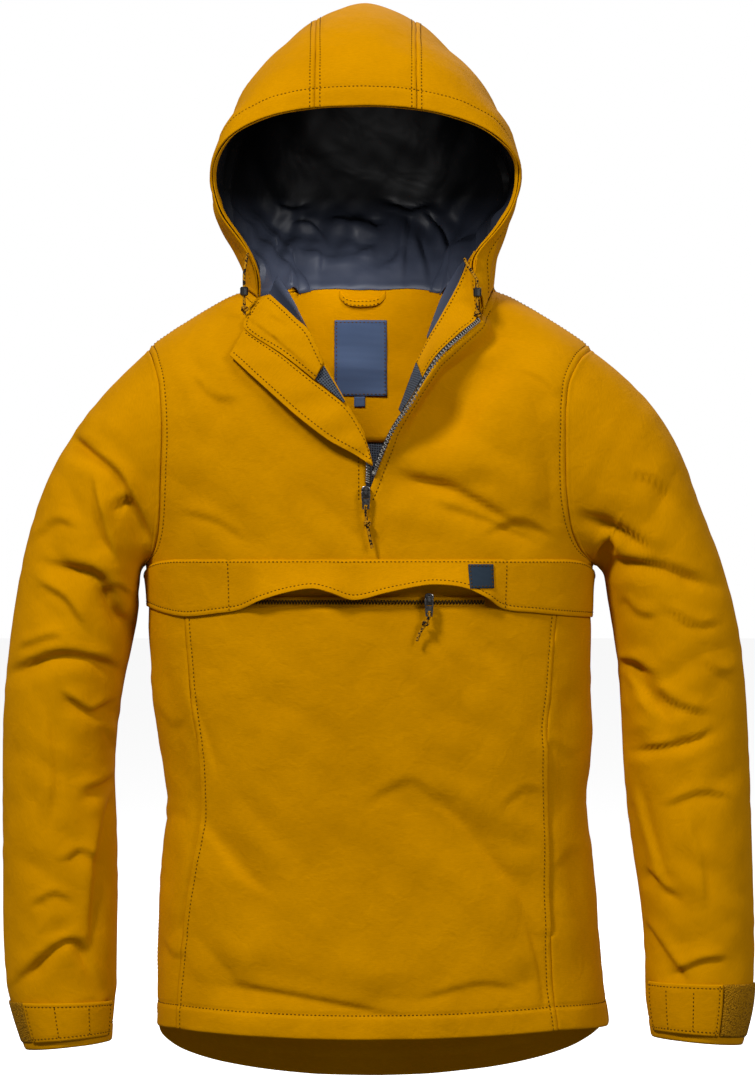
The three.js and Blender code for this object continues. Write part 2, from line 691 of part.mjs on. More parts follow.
// Hood surface: p runs from the brim (0) to the back of the neck (10), and q from the crown (0)
// over the widest point (1) to the neck seam (2)
const NECK_GAP = 0.5;
const HOOD_NUDGE = 0.02;
function hoodSurface(p, q, side) {
  const at = (column) => along(HOOD, 'p', column, p);
  const name = sideName(side);
  const power = 2 / at(`square_${name}`);
  const wideZ = at(`z_${name}`);
  const neck = neckSeam(p, side).add(vector(0, 0, NECK_GAP));
  if (q <= 1) {
    const turn = (q * Math.PI) / 2;
    const up = Math.max(0, Math.cos(turn)) ** power;
    const x = side * at('wide_x') * Math.sin(turn) ** power + HOOD_SHIFT * Math.min(1, (10 - p) / 2);
    if (p >= 10) return backNeck(x).add(vector(0, 0, NECK_GAP));
    return vector(x, lerp(at('wide_y'), at('crown_y'), up), lerp(wideZ, at('crown_z'), up));
  }
  const r = q - 1;
  const swing = Math.max(0, Math.cos((r * Math.PI) / 2)) ** CHEEK_CURVE[name];
  const wide = side * at('wide_x') + HOOD_SHIFT * Math.min(1, (10 - p) / 2);
  const x = lerp(neck.x, wide, swing);
  if (p >= 10) return backNeck(x).add(vector(0, 0, NECK_GAP));
  const z = lerp(wideZ, neck.z, r);
  const tuck = RIM_TUCK[name] * Math.max(0, 1 - p) * Math.exp(-(((z - TUCK_Z) / TUCK_WIDTH) ** 2));
  return vector(x - side * tuck, lerp(at('wide_y'), neck.y, r), z);
}

function hoodPoint(p, q, side) {
  const at = hoodSurface(p, q, side);
  const d = HOOD_NUDGE;
  const behind = hoodSurface(Math.min(p + d, 9.9), q, side);
  const lengthwise = behind.sub(hoodSurface(Math.min(p, 9.9) - d, q, side));
  const down = hoodSurface(p, Math.min(2, q + d), side).sub(hoodSurface(p, Math.max(0, q - d), side));
  const out = down.cross(lengthwise).normalize().multiplyScalar(side);
  return { at, out };
}

const seamTurn = (p, side) => {
  const wide = along(HOOD, 'p', 'wide_x', p);
  const square = along(HOOD, 'p', `square_${sideName(side)}`, p);
  return (2 / Math.PI) * Math.asin((HOOD_CENTRE_HALF / wide) ** (square / 2));
};
const HOOD_SEAM_STEP = 0.0014;
const HOOD_SIDE_CELLS = 8;
const HOOD_CENTRE_CELLS = 2;

const hoodCentre = HOOD_ROWS.map((p) => {
  const half = (side) => {
    const edge = seamTurn(p, side) - HOOD_SEAM_STEP;
    return steps(HOOD_CENTRE_CELLS).map((i) => hoodPoint(p, (edge * i) / HOOD_CENTRE_CELLS, side));
  };
  const right = half(1);
  const left = half(-1).slice(1);
  const row = [...left.reverse(), ...right];
  return row.map((point, i) => (i === 0 || i === row.length - 1 ? sewn(point) : point));
});
add('hood_centre', gridWall(hoodCentre, CLOTH), GOLD);

for (const side of [-1, 1]) {
  const grid = HOOD_ROWS.map((p) => steps(HOOD_SIDE_CELLS).map((i) => {
    const point = hoodPoint(p, lerp(seamTurn(p, side) + HOOD_SEAM_STEP, 2, i / HOOD_SIDE_CELLS), side);
    return i === 0 ? sewn(point) : point;
  }));
  add(`hood_${sideName(side)}`, gridWall(grid, CLOTH, side < 0), GOLD);
}

// Hood lining of satin, and the facing of shell cloth round the hood's edge. Their points are the
// hood's own, moved in.
const hoodTurns = (p) => {
  const half = (side) => {
    const edge = seamTurn(p, side);
    const up = steps(HOOD_CENTRE_CELLS).slice(0, -1).map((i) => (edge * i) / HOOD_CENTRE_CELLS);
    const down = steps(HOOD_SIDE_CELLS).map((i) => lerp(edge, 2, i / HOOD_SIDE_CELLS));
    return [...up, ...down].map((q) => [q, side]);
  };
  return [...half(-1).slice(1).reverse(), ...half(1)];
};
const inside = CLOTH + LAID;
const hoodSheet = HOOD_ROWS.map((p) => hoodTurns(p).map(([q, side]) => ({ at: hoodSurface(p, q, side) })));
const hoodNormals = sheetNormals(hoodSheet.flat(), gridQuads(hoodSheet, false));
const insideHood = hoodSheet.map((row, j) => row.map(({ at }, i) =>
  moved({ at, out: hoodNormals[j * row.length + i] }, -inside)));
const FACING_ROW = HOOD_ROWS.indexOf(1);
const facingEdge = (up) => insideHood[FACING_ROW].map((point) =>
  sewn(point, vector(0, -up * HALF_SEAM, -up * HALF_SEAM), FACING));
const hoodFacing = [...insideHood.slice(0, FACING_ROW), facingEdge(1)];
add('hood_rim_facing', gridWall(hoodFacing, FACING), GOLD);
add('hood_lining', gridWall([facingEdge(-1), ...insideHood.slice(FACING_ROW + 1)], FACING), SLATE);

// Pocket band: laid over the chest seam. Its middle is a flap whose lower edge stands off the body.
const BAND_TOP = -259;
const BAND_DROP = 17;
const BAND_AIR = 1.4;
const BAND_ROWS = [0, 0.3, 0.65, 1];
const BAND_EDGE = rows('x z lift', [
  [-224, -306, 0],
  [-206, -312, 0],
  [-183, -315.5, 0],
  [-150, -312, 0],
  [-129, -308.7, 0],
  [-106, -299, 8],
  [-78, -290.5, 13],
  [-55, -287, 14],
  [-38, -291, 13],
  [-16, -298.6, 9],
  [15, -291.5, 12],
  [44, -285, 14],
  [63, -283, 15],
  [89.5, -286, 14],
  [114, -297, 9],
  [132, -307.7, 0],
  [165, -311.7, 0],
  [194, -314.6, 0],
  [224, -317, 0],
]);
const bandEdge = (x) => along(BAND_EDGE, 'x', 'z', x);

function bandPoint(point) {
  const { x, z } = point.at;
  const open = clamp((BAND_TOP - z) / (BAND_TOP - bandEdge(x)), 0, 1);
  const lift = Math.max(0, along(BAND_EDGE, 'x', 'lift', x)) * open ** 1.5;
  return moved(point, BAND_AIR + CLOTH + lift);
}

const bandColumns = (side, z) => [
  ...steps(FRONT_CELLS).map((i) => angleAt(frontX((side * i) / FRONT_CELLS, z), z)),
  ...steps(SIDE_CELLS).slice(1).map((i) => sideAngle(side, i / SIDE_CELLS, z)),
];
const band = BAND_ROWS.map((up) => {
  const half = (side) => bandColumns(side, BAND_TOP).map((angle, i) => {
    const flank = Math.max(0, i - FRONT_CELLS) / SIDE_CELLS;
    const x = bodyPoint(angle, BAND_TOP, -1).at.x;
    const z = lerp(bandEdge(x), BAND_TOP - BAND_DROP * flank * flank, up);
    const place = bodyPoint(bandColumns(side, z)[i], z, -1);
    const point = bandPoint(place);
    return flank === 1 ? offMiddle(point, -2) : point;
  });
  return [...half(-1).slice(1).reverse(), ...half(1)];
});
add('pocket_band', gridWall(band, CLOTH), GOLD);

// A small piece laid on the front of the body, the band or the inside of the back: a grid in x and z
function laidGrid(x0, x1, z0, z1, cells, place) {
  const between = (a, b) => steps(cells).map((i) => lerp(a, b, i / cells));
  return between(z0, z1).map((z) => between(x0, x1).map((x) => place(x, z)));
}

// Chest pocket zip under the flap's edge
const POCKET_ZIP_Z = -301;
const POCKET_ZIP_HALF = 5;
const POCKET_ZIP_CELLS = 5;
const pocketTape = [-1, 1].map((up) => steps(2 * POCKET_ZIP_CELLS).map((i) => {
  const z = POCKET_ZIP_Z + up * POCKET_ZIP_HALF;
  return moved(bodyAt(frontX((i - POCKET_ZIP_CELLS) / FRONT_CELLS, z), z, -1), LAID + FACING);
}));
add('pocket_zip_tape', gridWall(pocketTape, FACING), TAPE);

// Woven label on the band
const LABEL_LIFT = 1;
const onBand = (x, z) => moved(bandPoint(bodyAt(x, z, -1)), LABEL_LIFT + FACING);
const pocketLabel = laidGrid(95.5, 120, -287, -263.6, 2, onBand);
add('pocket_label', gridWall(pocketLabel, FACING), LABEL);

// Ribbon between two lines of points, with a few cells across
function ribbon(one, two, cells, bulge = 0) {
  return one.map((a, j) => steps(cells).map((i) => {
    const share = i / cells;
    const at = a.clone().lerp(two[j], share);
    at.y -= bulge * Math.sin(Math.PI * share);
    return { at };
  }));
}
const onChest = (lift) => ([x, z]) => {
  const { at } = chestPoint(x, z);
  return vector(at.x, at.y - lift, at.z);
};
const places = (list, height) =>
  list.map((place, i) => onChest(Array.isArray(height) ? height[i] : height)(place));

// Left lapel, turned out: the facing beside the roll, the edge of the body lining below it, and the
// storm flap whose free edge stands off the chest
const facingLeftRoll = places([[-45.5, -66], [-59, -35.5], [-72, -22.5], [-86, -9], [-98.5, 2.5]], 1.9);
const facingLeftEdge = places([[-55, -80], [-88, -54], [-122.5, -29.5], [-117, -13], [-110.5, -3]], 4);
const LAPEL_BULGE = 3;
const FLAP_BULGE = 2;
add('facing_left', gridWall(ribbon(facingLeftEdge, facingLeftRoll, 3, LAPEL_BULGE), FACING), GOLD);

const liningLeftRoll = places([[-24, -104.5], [-35, -86], [-45, -69]], 1.9);
const liningLeftEdge = places([[-25.5, -105], [-39, -94], [-54, -82.3]], 3.4);
add('front_lining_left', gridWall(ribbon(liningLeftEdge, liningLeftRoll, 1), FACING), NAVY);

const FLAP_SEAM = [[3, -164], [-6, -137], [-24, -108.5], [-54, -84.5], [-87, -58], [-124, -32]];
const FLAP_EDGE = [[2, -168], [-12, -158], [-43, -140.5], [-76, -114.5], [-116, -78.5], [-138, -58]];
const flapSeam = places(FLAP_SEAM, [4.6, 3.4, 2.7, 2.7, 2.7, 2.7]);
const flapEdge = places(FLAP_EDGE, [7, 9, 13, 14, 12, 8]);
add('storm_flap', gridWall(ribbon(flapEdge, flapSeam, 2, FLAP_BULGE), CLOTH), GOLD);

// Zip tapes with their teeth, along both edges of the opening
const TAPE_GAP = 1.7;
const TAPE_WIDTH = 2.8;
const TAPE_CLEAR = 1.2;
function tapeLine(line, side, gap, lift = -SEAM) {
  return line.map(({ x, z }, i) => {
    const before = line[Math.max(i - 1, 0)];
    const after = line[Math.min(i + 1, line.length - 1)];
    const run = Math.hypot(after.x - before.x, after.z - before.z);
    const across = [(-side * (after.z - before.z)) / run, (side * (after.x - before.x)) / run];
    return onChest(lift)([x + gap * across[0], z + gap * across[1]]);
  });
}
const tapeRightLine = [{ x: 5.7, z: -176 }, ...OPENING_RIGHT.slice(1)];
const tapeEdges = (line, side) => [TAPE_GAP, TAPE_GAP + TAPE_WIDTH].map((gap) => tapeLine(line, side, gap));
const tapeRight = ribbon(...tapeEdges(tapeRightLine, 1).reverse(), 1);
add('zip_tape_right', gridWall(tapeRight, FACING), TAPE);
const tapeLeftLine = [{ x: -4, z: -184 }, { x: -3.8, z: -171 }, { x: -4.1, z: -150 }];
const tapeLeft = ribbon(...tapeEdges(tapeLeftLine, -1), 1);
add('zip_tape_left', gridWall(tapeLeft, FACING), TAPE);

// Right front: its facing falls back from the zip edge into the neck, with the body lining below
const facingRightInner = [
  [45.6, -92, -64.3],
  [57.5, -82, -40.7],
  [68.2, -74, -21.6],
  [86.5, -63, 12],
  [94.5, -58, 38],
];
const besideTape = (line) => tapeLine(line, 1, TAPE_GAP + TAPE_WIDTH + TAPE_CLEAR, -LAID);
const facingRightZip = [
  ...besideTape(rows('x z', [[56.2, -82.5], [66.9, -64.3], [90.7, -40.7], [108.5, -25.1]])),
  vector(102.8, -74.8, 14),
];
const spot = ([x, y, z]) => vector(x, y, z);
add('facing_right', gridWall(ribbon(facingRightInner.map(spot), facingRightZip, 3), FACING), GOLD);

const liningRightInner = [[28, -113, -112], [36, -104, -90], [45.3, -92.6, -65.1]];
const liningRightZip = besideTape(rows('x z', [[34.5, -118], [43.1, -104.8], [55.6, -83.5]]));
const liningRight = ribbon(liningRightInner.map(spot), liningRightZip, 1);
add('front_lining_right', gridWall(liningRight, FACING), NAVY);

// Inside of the back: the yoke facing below the neck and the mesh lining under it. Their points are
// the back's own, moved in.
const BACK_MIDDLE = BACK_CELLS;
const YOKE_HALF = 4;
const LINING_HALF = 6;
const YOKE_ROW = HEM_CELLS + ARM_CELLS / 2;
const LINING_ROW = 2;
const insideBack = (row, half) =>
  row.slice(BACK_MIDDLE - half, BACK_MIDDLE + half + 1).map((point) => moved(point, -inside));
const lower = (point) => ({ ...point, at: point.at.clone().add(vector(0, 0, -SEAM)) });
const yokeRows = backGrid.slice(YOKE_ROW).map((row) => insideBack(row, YOKE_HALF));
add('back_yoke_facing', gridWall(yokeRows, FACING), GOLD);
const liningGrid = backGrid.slice(LINING_ROW, YOKE_ROW + 1).map((row) => insideBack(row, LINING_HALF));
liningGrid.push(liningGrid.pop().map(lower));
add('back_lining', gridWall(liningGrid, FACING), NAVY);

// Labels sewn on the yoke facing, seen from inside the neck
const LABEL_DEPTH = 2.6;
const onYoke = (depth) => (x, z) => ({ at: moved(bodyAt(x, z, 1), -(inside + FACING + depth)).at });
add('neck_label', gridWall(laidGrid(-36.6, 17.1, -92.9, -14.7, 3, onYoke(LABEL_DEPTH)), FACING), LABEL);
add('size_label', gridWall(laidGrid(-16.3, -5.2, -104, -93.5, 1, onYoke(LABEL_DEPTH)), FACING), LABEL);

// Hanger loop, sewn down at both ends
const LOOP_CELLS = 8;
const LOOP_WIDTH = 7;
const LOOP = { left: -32, right: 16, end: 9, sag: 10, air: 1.5, stand: 7 };
const loopPoint = (share, up) => {
  const x = lerp(LOOP.left, LOOP.right, share);
  const sag = LOOP.sag * (1 - (2 * share - 1) ** 4);
  const stand = LOOP.air + LOOP.stand * Math.sin(Math.PI * share);
  return onYoke(stand)(x, LOOP.end - sag + up * LOOP_WIDTH);
};
const loop = [0, 1].map((up) => steps(LOOP_CELLS).map((i) => loopPoint(i / LOOP_CELLS, up)));
add('hanger_loop', gridWall(loop, FACING), GOLD);

// Cuff straps and their hook-and-loop patches, laid on the sleeves
const CUFF_ROWS = [11.6, 12.2, 12.8];
const CUFF_AIR = { left: 1.1, right: 1.3 };
const CUFF_STOPS = {
  left: { strap: [1, 2, 3, 4, 5, 6], patch: [6.05, 7, 8, 9] },
  right: { strap: [1, 2, 3, 4, 5], patch: [5.05, 6, 7, 8] },
};
for (const side of [-1, 1]) {
  const cuffGrid = (stops, lift) => [...CUFF_ROWS].reverse().map((k) => stops.map((stop) =>
    moved(sleevePoint(side, k, (stop * Math.PI) / ARM_CELLS), CUFF_AIR[sideName(side)] + lift)));
  const { strap, patch: hooks } = CUFF_STOPS[sideName(side)];
  add(`cuff_strap_${sideName(side)}`, gridWall(cuffGrid(strap, CLOTH), CLOTH, side < 0), GOLD);
  add(`cuff_patch_${sideName(side)}`, gridWall(cuffGrid(hooks, FACING), FACING, side < 0), HOOKS);
}

// Zip slider with a bridge, and the pull tab whose top bar lies in the bridge
const SLIDER = { width: 9, foot: 6, height: 12, depth: 4.5 };
const BRIDGE = { width: 2.4, half: 3.8, leg: 1.3, reach: 4.6, bar: 1.3 };
const PIVOT_OUT = 1.75;
const TAB = { half: 4.4, neck: 1.3, hole: 2.6, holeEnd: 6.6, length: 17, thickness: 1.4, bar: 0.7 };
const EYE = { radius: 1.8, up: 3, corners: 8 };

// Extrudes a shape drawn in x and z towards the front
function frontPlate(shape, depth) {
  const geometry = new THREE.ExtrudeGeometry(shape, { depth, bevelEnabled: false, curveSegments: 4 });
  return geometry.rotateX(Math.PI / 2);
}

function sliderPlate({ width, foot, height, depth }) {
  const shape = new THREE.Shape();
  shape.moveTo(-foot / 2, -height / 2);
  shape.lineTo(foot / 2, -height / 2);
  shape.lineTo(width / 2, height / 6);
  shape.quadraticCurveTo(width / 2, height / 2, 0, height / 2);
  shape.quadraticCurveTo(-width / 2, height / 2, -width / 2, height / 6);
  shape.closePath();
  return frontPlate(shape, depth);
}

// Arch over the slider: a side profile with its hole, as wide as the bridge
function bridgeArch({ width, half, leg, reach, bar }) {
  const shape = new THREE.Shape();
  shape.moveTo(0, -half);
  shape.lineTo(reach - 1, -half);
  shape.lineTo(reach, 1 - half);
  shape.lineTo(reach, half - 1);
  shape.lineTo(reach - 1, half);
  shape.lineTo(0, half);
  shape.lineTo(0, half - leg);
  shape.lineTo(reach - bar, half - leg);
  shape.lineTo(reach - bar, leg - half);
  shape.lineTo(0, leg - half);
  shape.closePath();
  const geometry = new THREE.ExtrudeGeometry(shape, { depth: width, bevelEnabled: false });
  return geometry.translate(0, 0, -width / 2).rotateX(Math.PI / 2).rotateZ(-Math.PI / 2);
}

function pullTab({ half, neck, hole, holeEnd, length, thickness, bar }) {
  const shape = new THREE.Shape();
  const outline = [
    [-half, -holeEnd / 2],
    [1 - half, -length],
    [half - 1, -length],
    [half, -holeEnd / 2],
    [half, bar - neck],
    [half - neck, bar],
    [neck - half, bar],
    [-half, bar - neck],
  ];
  shape.setFromPoints(outline.map((corner) => new THREE.Vector2(...corner)));
  const slot = [[-hole, -bar], [hole, -bar], [hole, -holeEnd], [-hole, -holeEnd]];
  shape.holes.push(new THREE.Path(slot.map((corner) => new THREE.Vector2(...corner))));
  const corners = steps(EYE.corners - 1).map((i) => (-2 * Math.PI * i) / EYE.corners);
  shape.holes.push(new THREE.Path(corners.map((turn) =>
    new THREE.Vector2(EYE.radius * Math.cos(turn), EYE.up - length + EYE.radius * Math.sin(turn)))));
  return frontPlate(shape, thickness).translate(0, thickness / 2, 0);
}

const CORD_STEP = 2.5;
const CORD_SIDES = 8;
function cord(points) {
  const route = new THREE.CatmullRomCurve3(points);
  const cells = Math.max(4, Math.round(route.getLength() / (CORD_STEP * CORD)));
  const circle = new THREE.Shape();
  circle.absarc(0, 0, CORD / 2, 0, 2 * Math.PI);
  const shape = new THREE.Shape(circle.getPoints(CORD_SIDES).slice(0, CORD_SIDES));
  return new THREE.ExtrudeGeometry(shape, { steps: cells, extrudePath: route });
}

const sliderFace = (x, z, lift) => bodyAt(x, z, -1).at.y - lift;
function zipPull(name, x, z, lift, cordDrops) {
  const back = sliderFace(x, z, lift);
  const face = back - SLIDER.depth;
  add(`${name}_slider`, sliderPlate(SLIDER), GUNMETAL).position.set(x, back, z);
  add(`${name}_bridge`, bridgeArch(BRIDGE), GUNMETAL).position.set(x, face - SEAM, z);
  const pivot = face - SEAM - PIVOT_OUT;
  add(`${name}_pull`, pullTab(TAB), GUNMETAL).position.set(x, pivot, z);
  const end = z - TAB.length - 2 * SEAM;
  const route = cordDrops.map(([dx, dy, dz]) => vector(x + dx, pivot + dy, end + dz));
  add(`${name}_pull_cord`, cord(route), CORDING);
}
zipPull('zip', -3.9, -193, 0.6, [[0, 0, 0], [0.3, 0, -8], [1.5, 0, -16], [3.5, 0, -25], [5.5, 0.5, -36]]);
zipPull('pocket_zip', 58, -298, LAID + FACING + 0.4, [[0, 0, 0], [-1, 0, -5], [-5, 0.5, -10], [-10, 1, -14]]);

// Hood drawcords: they leave the hood's edge, run down over the collar and end in a cord lock
const LOCK = { radius: 4.2, height: 9, face: 3, edge: 1.2, sides: 10 };
function drawcord(side, points) {
  add(`drawcord_${sideName(side)}`, cord(points.map(spot)), CORDING);
  const [x, y, z] = points[points.length - 1];
  const { radius, height, face, edge } = LOCK;
  const profile = [[0, 0], [face, 0], [radius, edge], [radius, height - edge], [face, height], [0, height]];
  const lock = new THREE.LatheGeometry(profile.map(([r, h]) => new THREE.Vector2(r, h)), LOCK.sides);
  add(`cord_lock_${sideName(side)}`, lock.rotateX(-Math.PI / 2), TAPE).position.set(x, y, z - SEAM);
}
drawcord(-1, [[-121.1, -64.6, 43], [-122, -74, 36], [-124, -81, 23], [-124, -83, 10]]);
drawcord(1, [[93.8, -60, 38], [97, -71, 31], [102.6, -80, 21.5], [105.8, -83.7, 15], [106, -84, 9]]);

export default anorak;
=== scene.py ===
import math

import bmesh
import bpy
import numpy as np
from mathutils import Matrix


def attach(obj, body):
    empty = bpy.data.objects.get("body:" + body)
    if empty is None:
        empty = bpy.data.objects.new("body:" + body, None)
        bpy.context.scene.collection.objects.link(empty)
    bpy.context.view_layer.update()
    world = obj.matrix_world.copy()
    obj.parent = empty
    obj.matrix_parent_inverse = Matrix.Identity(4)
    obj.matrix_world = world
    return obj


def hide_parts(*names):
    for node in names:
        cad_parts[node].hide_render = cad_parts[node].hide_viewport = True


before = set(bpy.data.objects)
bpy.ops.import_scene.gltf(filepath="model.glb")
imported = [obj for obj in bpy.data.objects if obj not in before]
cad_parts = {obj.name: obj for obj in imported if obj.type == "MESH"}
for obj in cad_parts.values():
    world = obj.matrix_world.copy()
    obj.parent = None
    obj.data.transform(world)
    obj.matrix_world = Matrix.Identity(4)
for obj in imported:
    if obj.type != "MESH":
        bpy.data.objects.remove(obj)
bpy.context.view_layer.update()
scene = bpy.context.scene

# Camera: square in front of the chest and six metres off, with a long lens, so that 1 mm of the
# garment is one pixel of a 755 by 1080 picture.
camera = bpy.data.objects.new("camera", bpy.data.cameras.new("camera"))
scene.collection.objects.link(camera)
camera.data.lens = 200
camera.data.sensor_width = 36
camera.data.clip_end = 100
camera.location = (0.0075, -6.0, -0.24)
camera.rotation_euler = (math.radians(90), 0, 0)
scene.camera = camera


# Cords: braided elastic, 3 mm thick. Two leave the hood's edge and run through a cord lock to a
# knot; one is knotted through the pull tab of each zip.
MM = 0.001


def along(at, stops, values):
    """Smooth curve through a table: between two stops a cubic whose slope at each stop is the slope
    from the stop before it to the stop after it; held beyond the ends."""
    at, stops, values = (np.asarray(a, float) for a in (at, stops, values))
    last = len(stops) - 1
    i = np.clip(np.searchsorted(stops, at, side="right") - 1, 0, last - 1)
    before, after = np.maximum(np.arange(last + 1) - 1, 0), np.minimum(np.arange(last + 1) + 1, last)
    slope = (values[after] - values[before]) / (stops[after] - stops[before])
    span = stops[i + 1] - stops[i]
    t = np.clip((at - stops[i]) / span, 0, 1)
    rise = t * t * (3 - 2 * t)
    leave = t * (1 - t) ** 2 * span * slope[i]
    arrive = t * t * (t - 1) * span * slope[i + 1]
    return values[i] * (1 - rise) + values[i + 1] * rise + leave + arrive


def smooth_line(points, count):
    """A smooth line through points: each coordinate is a curve over the points' numbers."""
    points = np.asarray(points, float)
    stops = np.arange(len(points))
    at = np.linspace(0, len(points) - 1, count)
    return np.stack([along(at, stops, points[:, c]) for c in range(points.shape[1])], axis=-1)


def unit(vectors):
    return vectors / np.linalg.norm(vectors, axis=-1, keepdims=True)


def linear(colour):
    """Screen colour, six hex digits, to linear light."""
    parts = [int(colour[i:i + 2], 16) / 255 for i in (1, 3, 5)]
    return [*(c / 12.92 if c <= 0.04045 else ((c + 0.055) / 1.055) ** 2.4 for c in parts), 1.0]


def node(tree, kind, settings=None, links=None):
    """Adds a node. Settings are its properties, or inputs by name or number; links are its inputs."""
    made = tree.nodes.new(kind)
    for key, value in (settings or {}).items():
        if isinstance(key, int) or key in made.inputs:
            made.inputs[key].default_value = value
        else:
            setattr(made, key, value)
    for key, socket in (links or {}).items():
        tree.links.new(socket, made.inputs[key])
    return made


def new_finish(name, roughness, **sockets):
    """A material with its shader's plain numbers set; returns it with its tree and shader."""
    made = bpy.data.materials.new(name)
    made.use_nodes = True
    shader = made.node_tree.nodes["Principled BSDF"]
    shader.inputs["Roughness"].default_value = roughness
    for key, value in sockets.items():
        shader.inputs[key.replace("_", " ")].default_value = value
    return made, made.node_tree, shader


def wave_scale(period):
    """Wave Texture scale whose bands repeat after this many metres."""
    return 0.314 / period


# Braided elastic, black with ochre flecks: a fleck is one strand's crossing, about 1.2 mm, drawn 1.6 mm.
braid, tree, shader = new_finish("braided_elastic", 0.85, Specular_IOR_Level=0.15)
place = node(tree, "ShaderNodeTexCoord").outputs["Object"]
flecks = node(tree, "ShaderNodeTexVoronoi", {"Scale": 1 / 0.0016}, {"Vector": place})
picked = node(tree, "ShaderNodeValToRGB", None, {"Fac": flecks.outputs["Color"]})
picked.color_ramp.interpolation = "CONSTANT"
picked.color_ramp.elements[0].color = linear("#1a1510")
picked.color_ramp.elements[1].position = 0.42
picked.color_ramp.elements[1].color = linear("#a87408")
tree.links.new(picked.outputs["Color"], shader.inputs["Base Color"])
bump = node(tree, "ShaderNodeBump", {"Strength": 0.6, "Distance": 0.0004},
            {"Height": flecks.outputs["Distance"]})
tree.links.new(bump.outputs["Normal"], shader.inputs["Normal"])

CORD_WIDTH = 3.0


def cord_piece(name, points, replaced, body, **facts):
    """A cord as one open line of short steps along a smooth line through points."""
    route = smooth_line(points, 32) * MM
    data = bpy.data.curves.new(name, "CURVE")
    data.dimensions = "3D"
    data.bevel_depth = CORD_WIDTH * MM / 2
    data.bevel_resolution = 3
    data.use_fill_caps = True
    line = data.splines.new("POLY")
    line.points.add(len(route) - 1)
    line.points.foreach_set("co", np.column_stack([route, np.ones(len(route))]).ravel())
    piece = bpy.data.objects.new(name, data)
    scene.collection.objects.link(piece)
    data.materials.append(braid)
    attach(piece, body)
    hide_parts(replaced)


def mesh_piece(name, places, faces, material, body, replaced=(), uv=None):
    """A piece from places in mm and faces of equal corner count, on a body."""
    data = bpy.data.meshes.new(name)
    data.from_pydata((np.asarray(places) * MM).tolist(), [], np.asarray(faces).tolist())
    if uv is not None:
        layer = data.uv_layers.new(name="cloth")
        corners = np.zeros(len(data.loops), np.int32)
        data.loops.foreach_get("vertex_index", corners)
        layer.data.foreach_set("uv", (uv[corners] * MM).ravel())
    data.materials.append(material)
    data.polygons.foreach_set("use_smooth", [True] * len(data.polygons))
    data.update()
    piece = bpy.data.objects.new(name, data)
    scene.collection.objects.link(piece)
    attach(piece, body)
    if replaced:
        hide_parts(*replaced)
    return piece


def ring_faces(rows, columns):
    """Quads between rings of places, each ring closed on itself."""
    j, i = np.meshgrid(np.arange(rows - 1), np.arange(columns), indexing="ij")
    a = j * columns + i
    b = j * columns + (i + 1) % columns
    return np.stack([a, b, b + columns, a + columns], axis=-1).reshape(-1, 4)


def round_wire(path, one, two, radius, sides):
    """Rings round a path: each place plus the radius along two directions across it, the first by
    a cosine and the second by a sine."""
    turn = np.linspace(0, 2 * math.pi, sides, endpoint=False)[:, None]
    return path[:, None] + radius * (one[:, None] * np.cos(turn) + two[:, None] * np.sin(turn))


def knot(name, middle, body):
    """An overhand knot: a torus-knot path, two turns round and three through, as a closed tube."""
    count, sides = 60, 8
    turns = np.linspace(0, 2 * math.pi, count, endpoint=False)
    wide = 2.0 + 0.9 * np.cos(3 * turns)
    path = np.stack([wide * np.cos(2 * turns), wide * np.sin(2 * turns), 1.7 * np.sin(3 * turns)], axis=-1)
    ahead = unit(np.roll(path, -1, 0) - np.roll(path, 1, 0))
    side = unit(np.cross(ahead, path + [0, 0, 4]))
    tube = round_wire(path, side, np.cross(side, ahead), 1.2, sides)
    faces = ring_faces(count + 1, sides) % (count * sides)
    return mesh_piece(name, tube.reshape(-1, 3) + middle, faces, braid, body)


left_lock, right_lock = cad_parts["cord_lock_left"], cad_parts["cord_lock_right"]
left_knot = knot("drawcord_knot_left", (-123.6, -83.2, -12), "garment")
right_knot = knot("drawcord_knot_right", (106.2, -84.6, -17.5), "garment")
cord_piece("hood_drawcord_left", [(-121.1, -64.6, 43), (-122, -74, 36), (-124, -81, 23), (-124, -83.6, 8),
                                  (-124, -83.8, -2), (-123.6, -83.2, -18)],
           "drawcord_left", "garment", far_end="knot", with_pieces=[left_lock, left_knot])
cord_piece("hood_drawcord_right", [(93.8, -60, 38), (97, -71, 31), (102.6, -80, 21.5), (105.8, -83.7, 15),
                                   (106, -84, 5), (106, -84.2, -8), (106.4, -84.6, -24)],
           "drawcord_right", "garment", far_end="knot", with_pieces=[right_lock, right_knot])
zip_knot = knot("zip_cord_knot", (-2.6, -129.8, -224), "zip_tab")
cord_piece("zip_cord", [(-3.9, -131.6, -206.6), (-4.1, -131.9, -211), (-3.5, -130.2, -218),
                        (-2.4, -129.8, -226.6), (-0.4, -129.8, -236), (2.2, -129.2, -248)],
           "zip_pull_cord", "zip_tab", far_end="bare", with_pieces=[zip_knot])
pocket_knot = knot("pocket_cord_knot", (54.4, -129.2, -321.5), "pocket_tab")
cord_piece("pocket_cord", [(58.2, -131, -309.6), (58.6, -131.6, -314), (56, -129.6, -319),
                           (52.8, -128.9, -325), (49, -128.3, -331), (46, -128, -339)],
           "pocket_zip_pull_cord", "pocket_tab", far_end="bare", with_pieces=[pocket_knot])


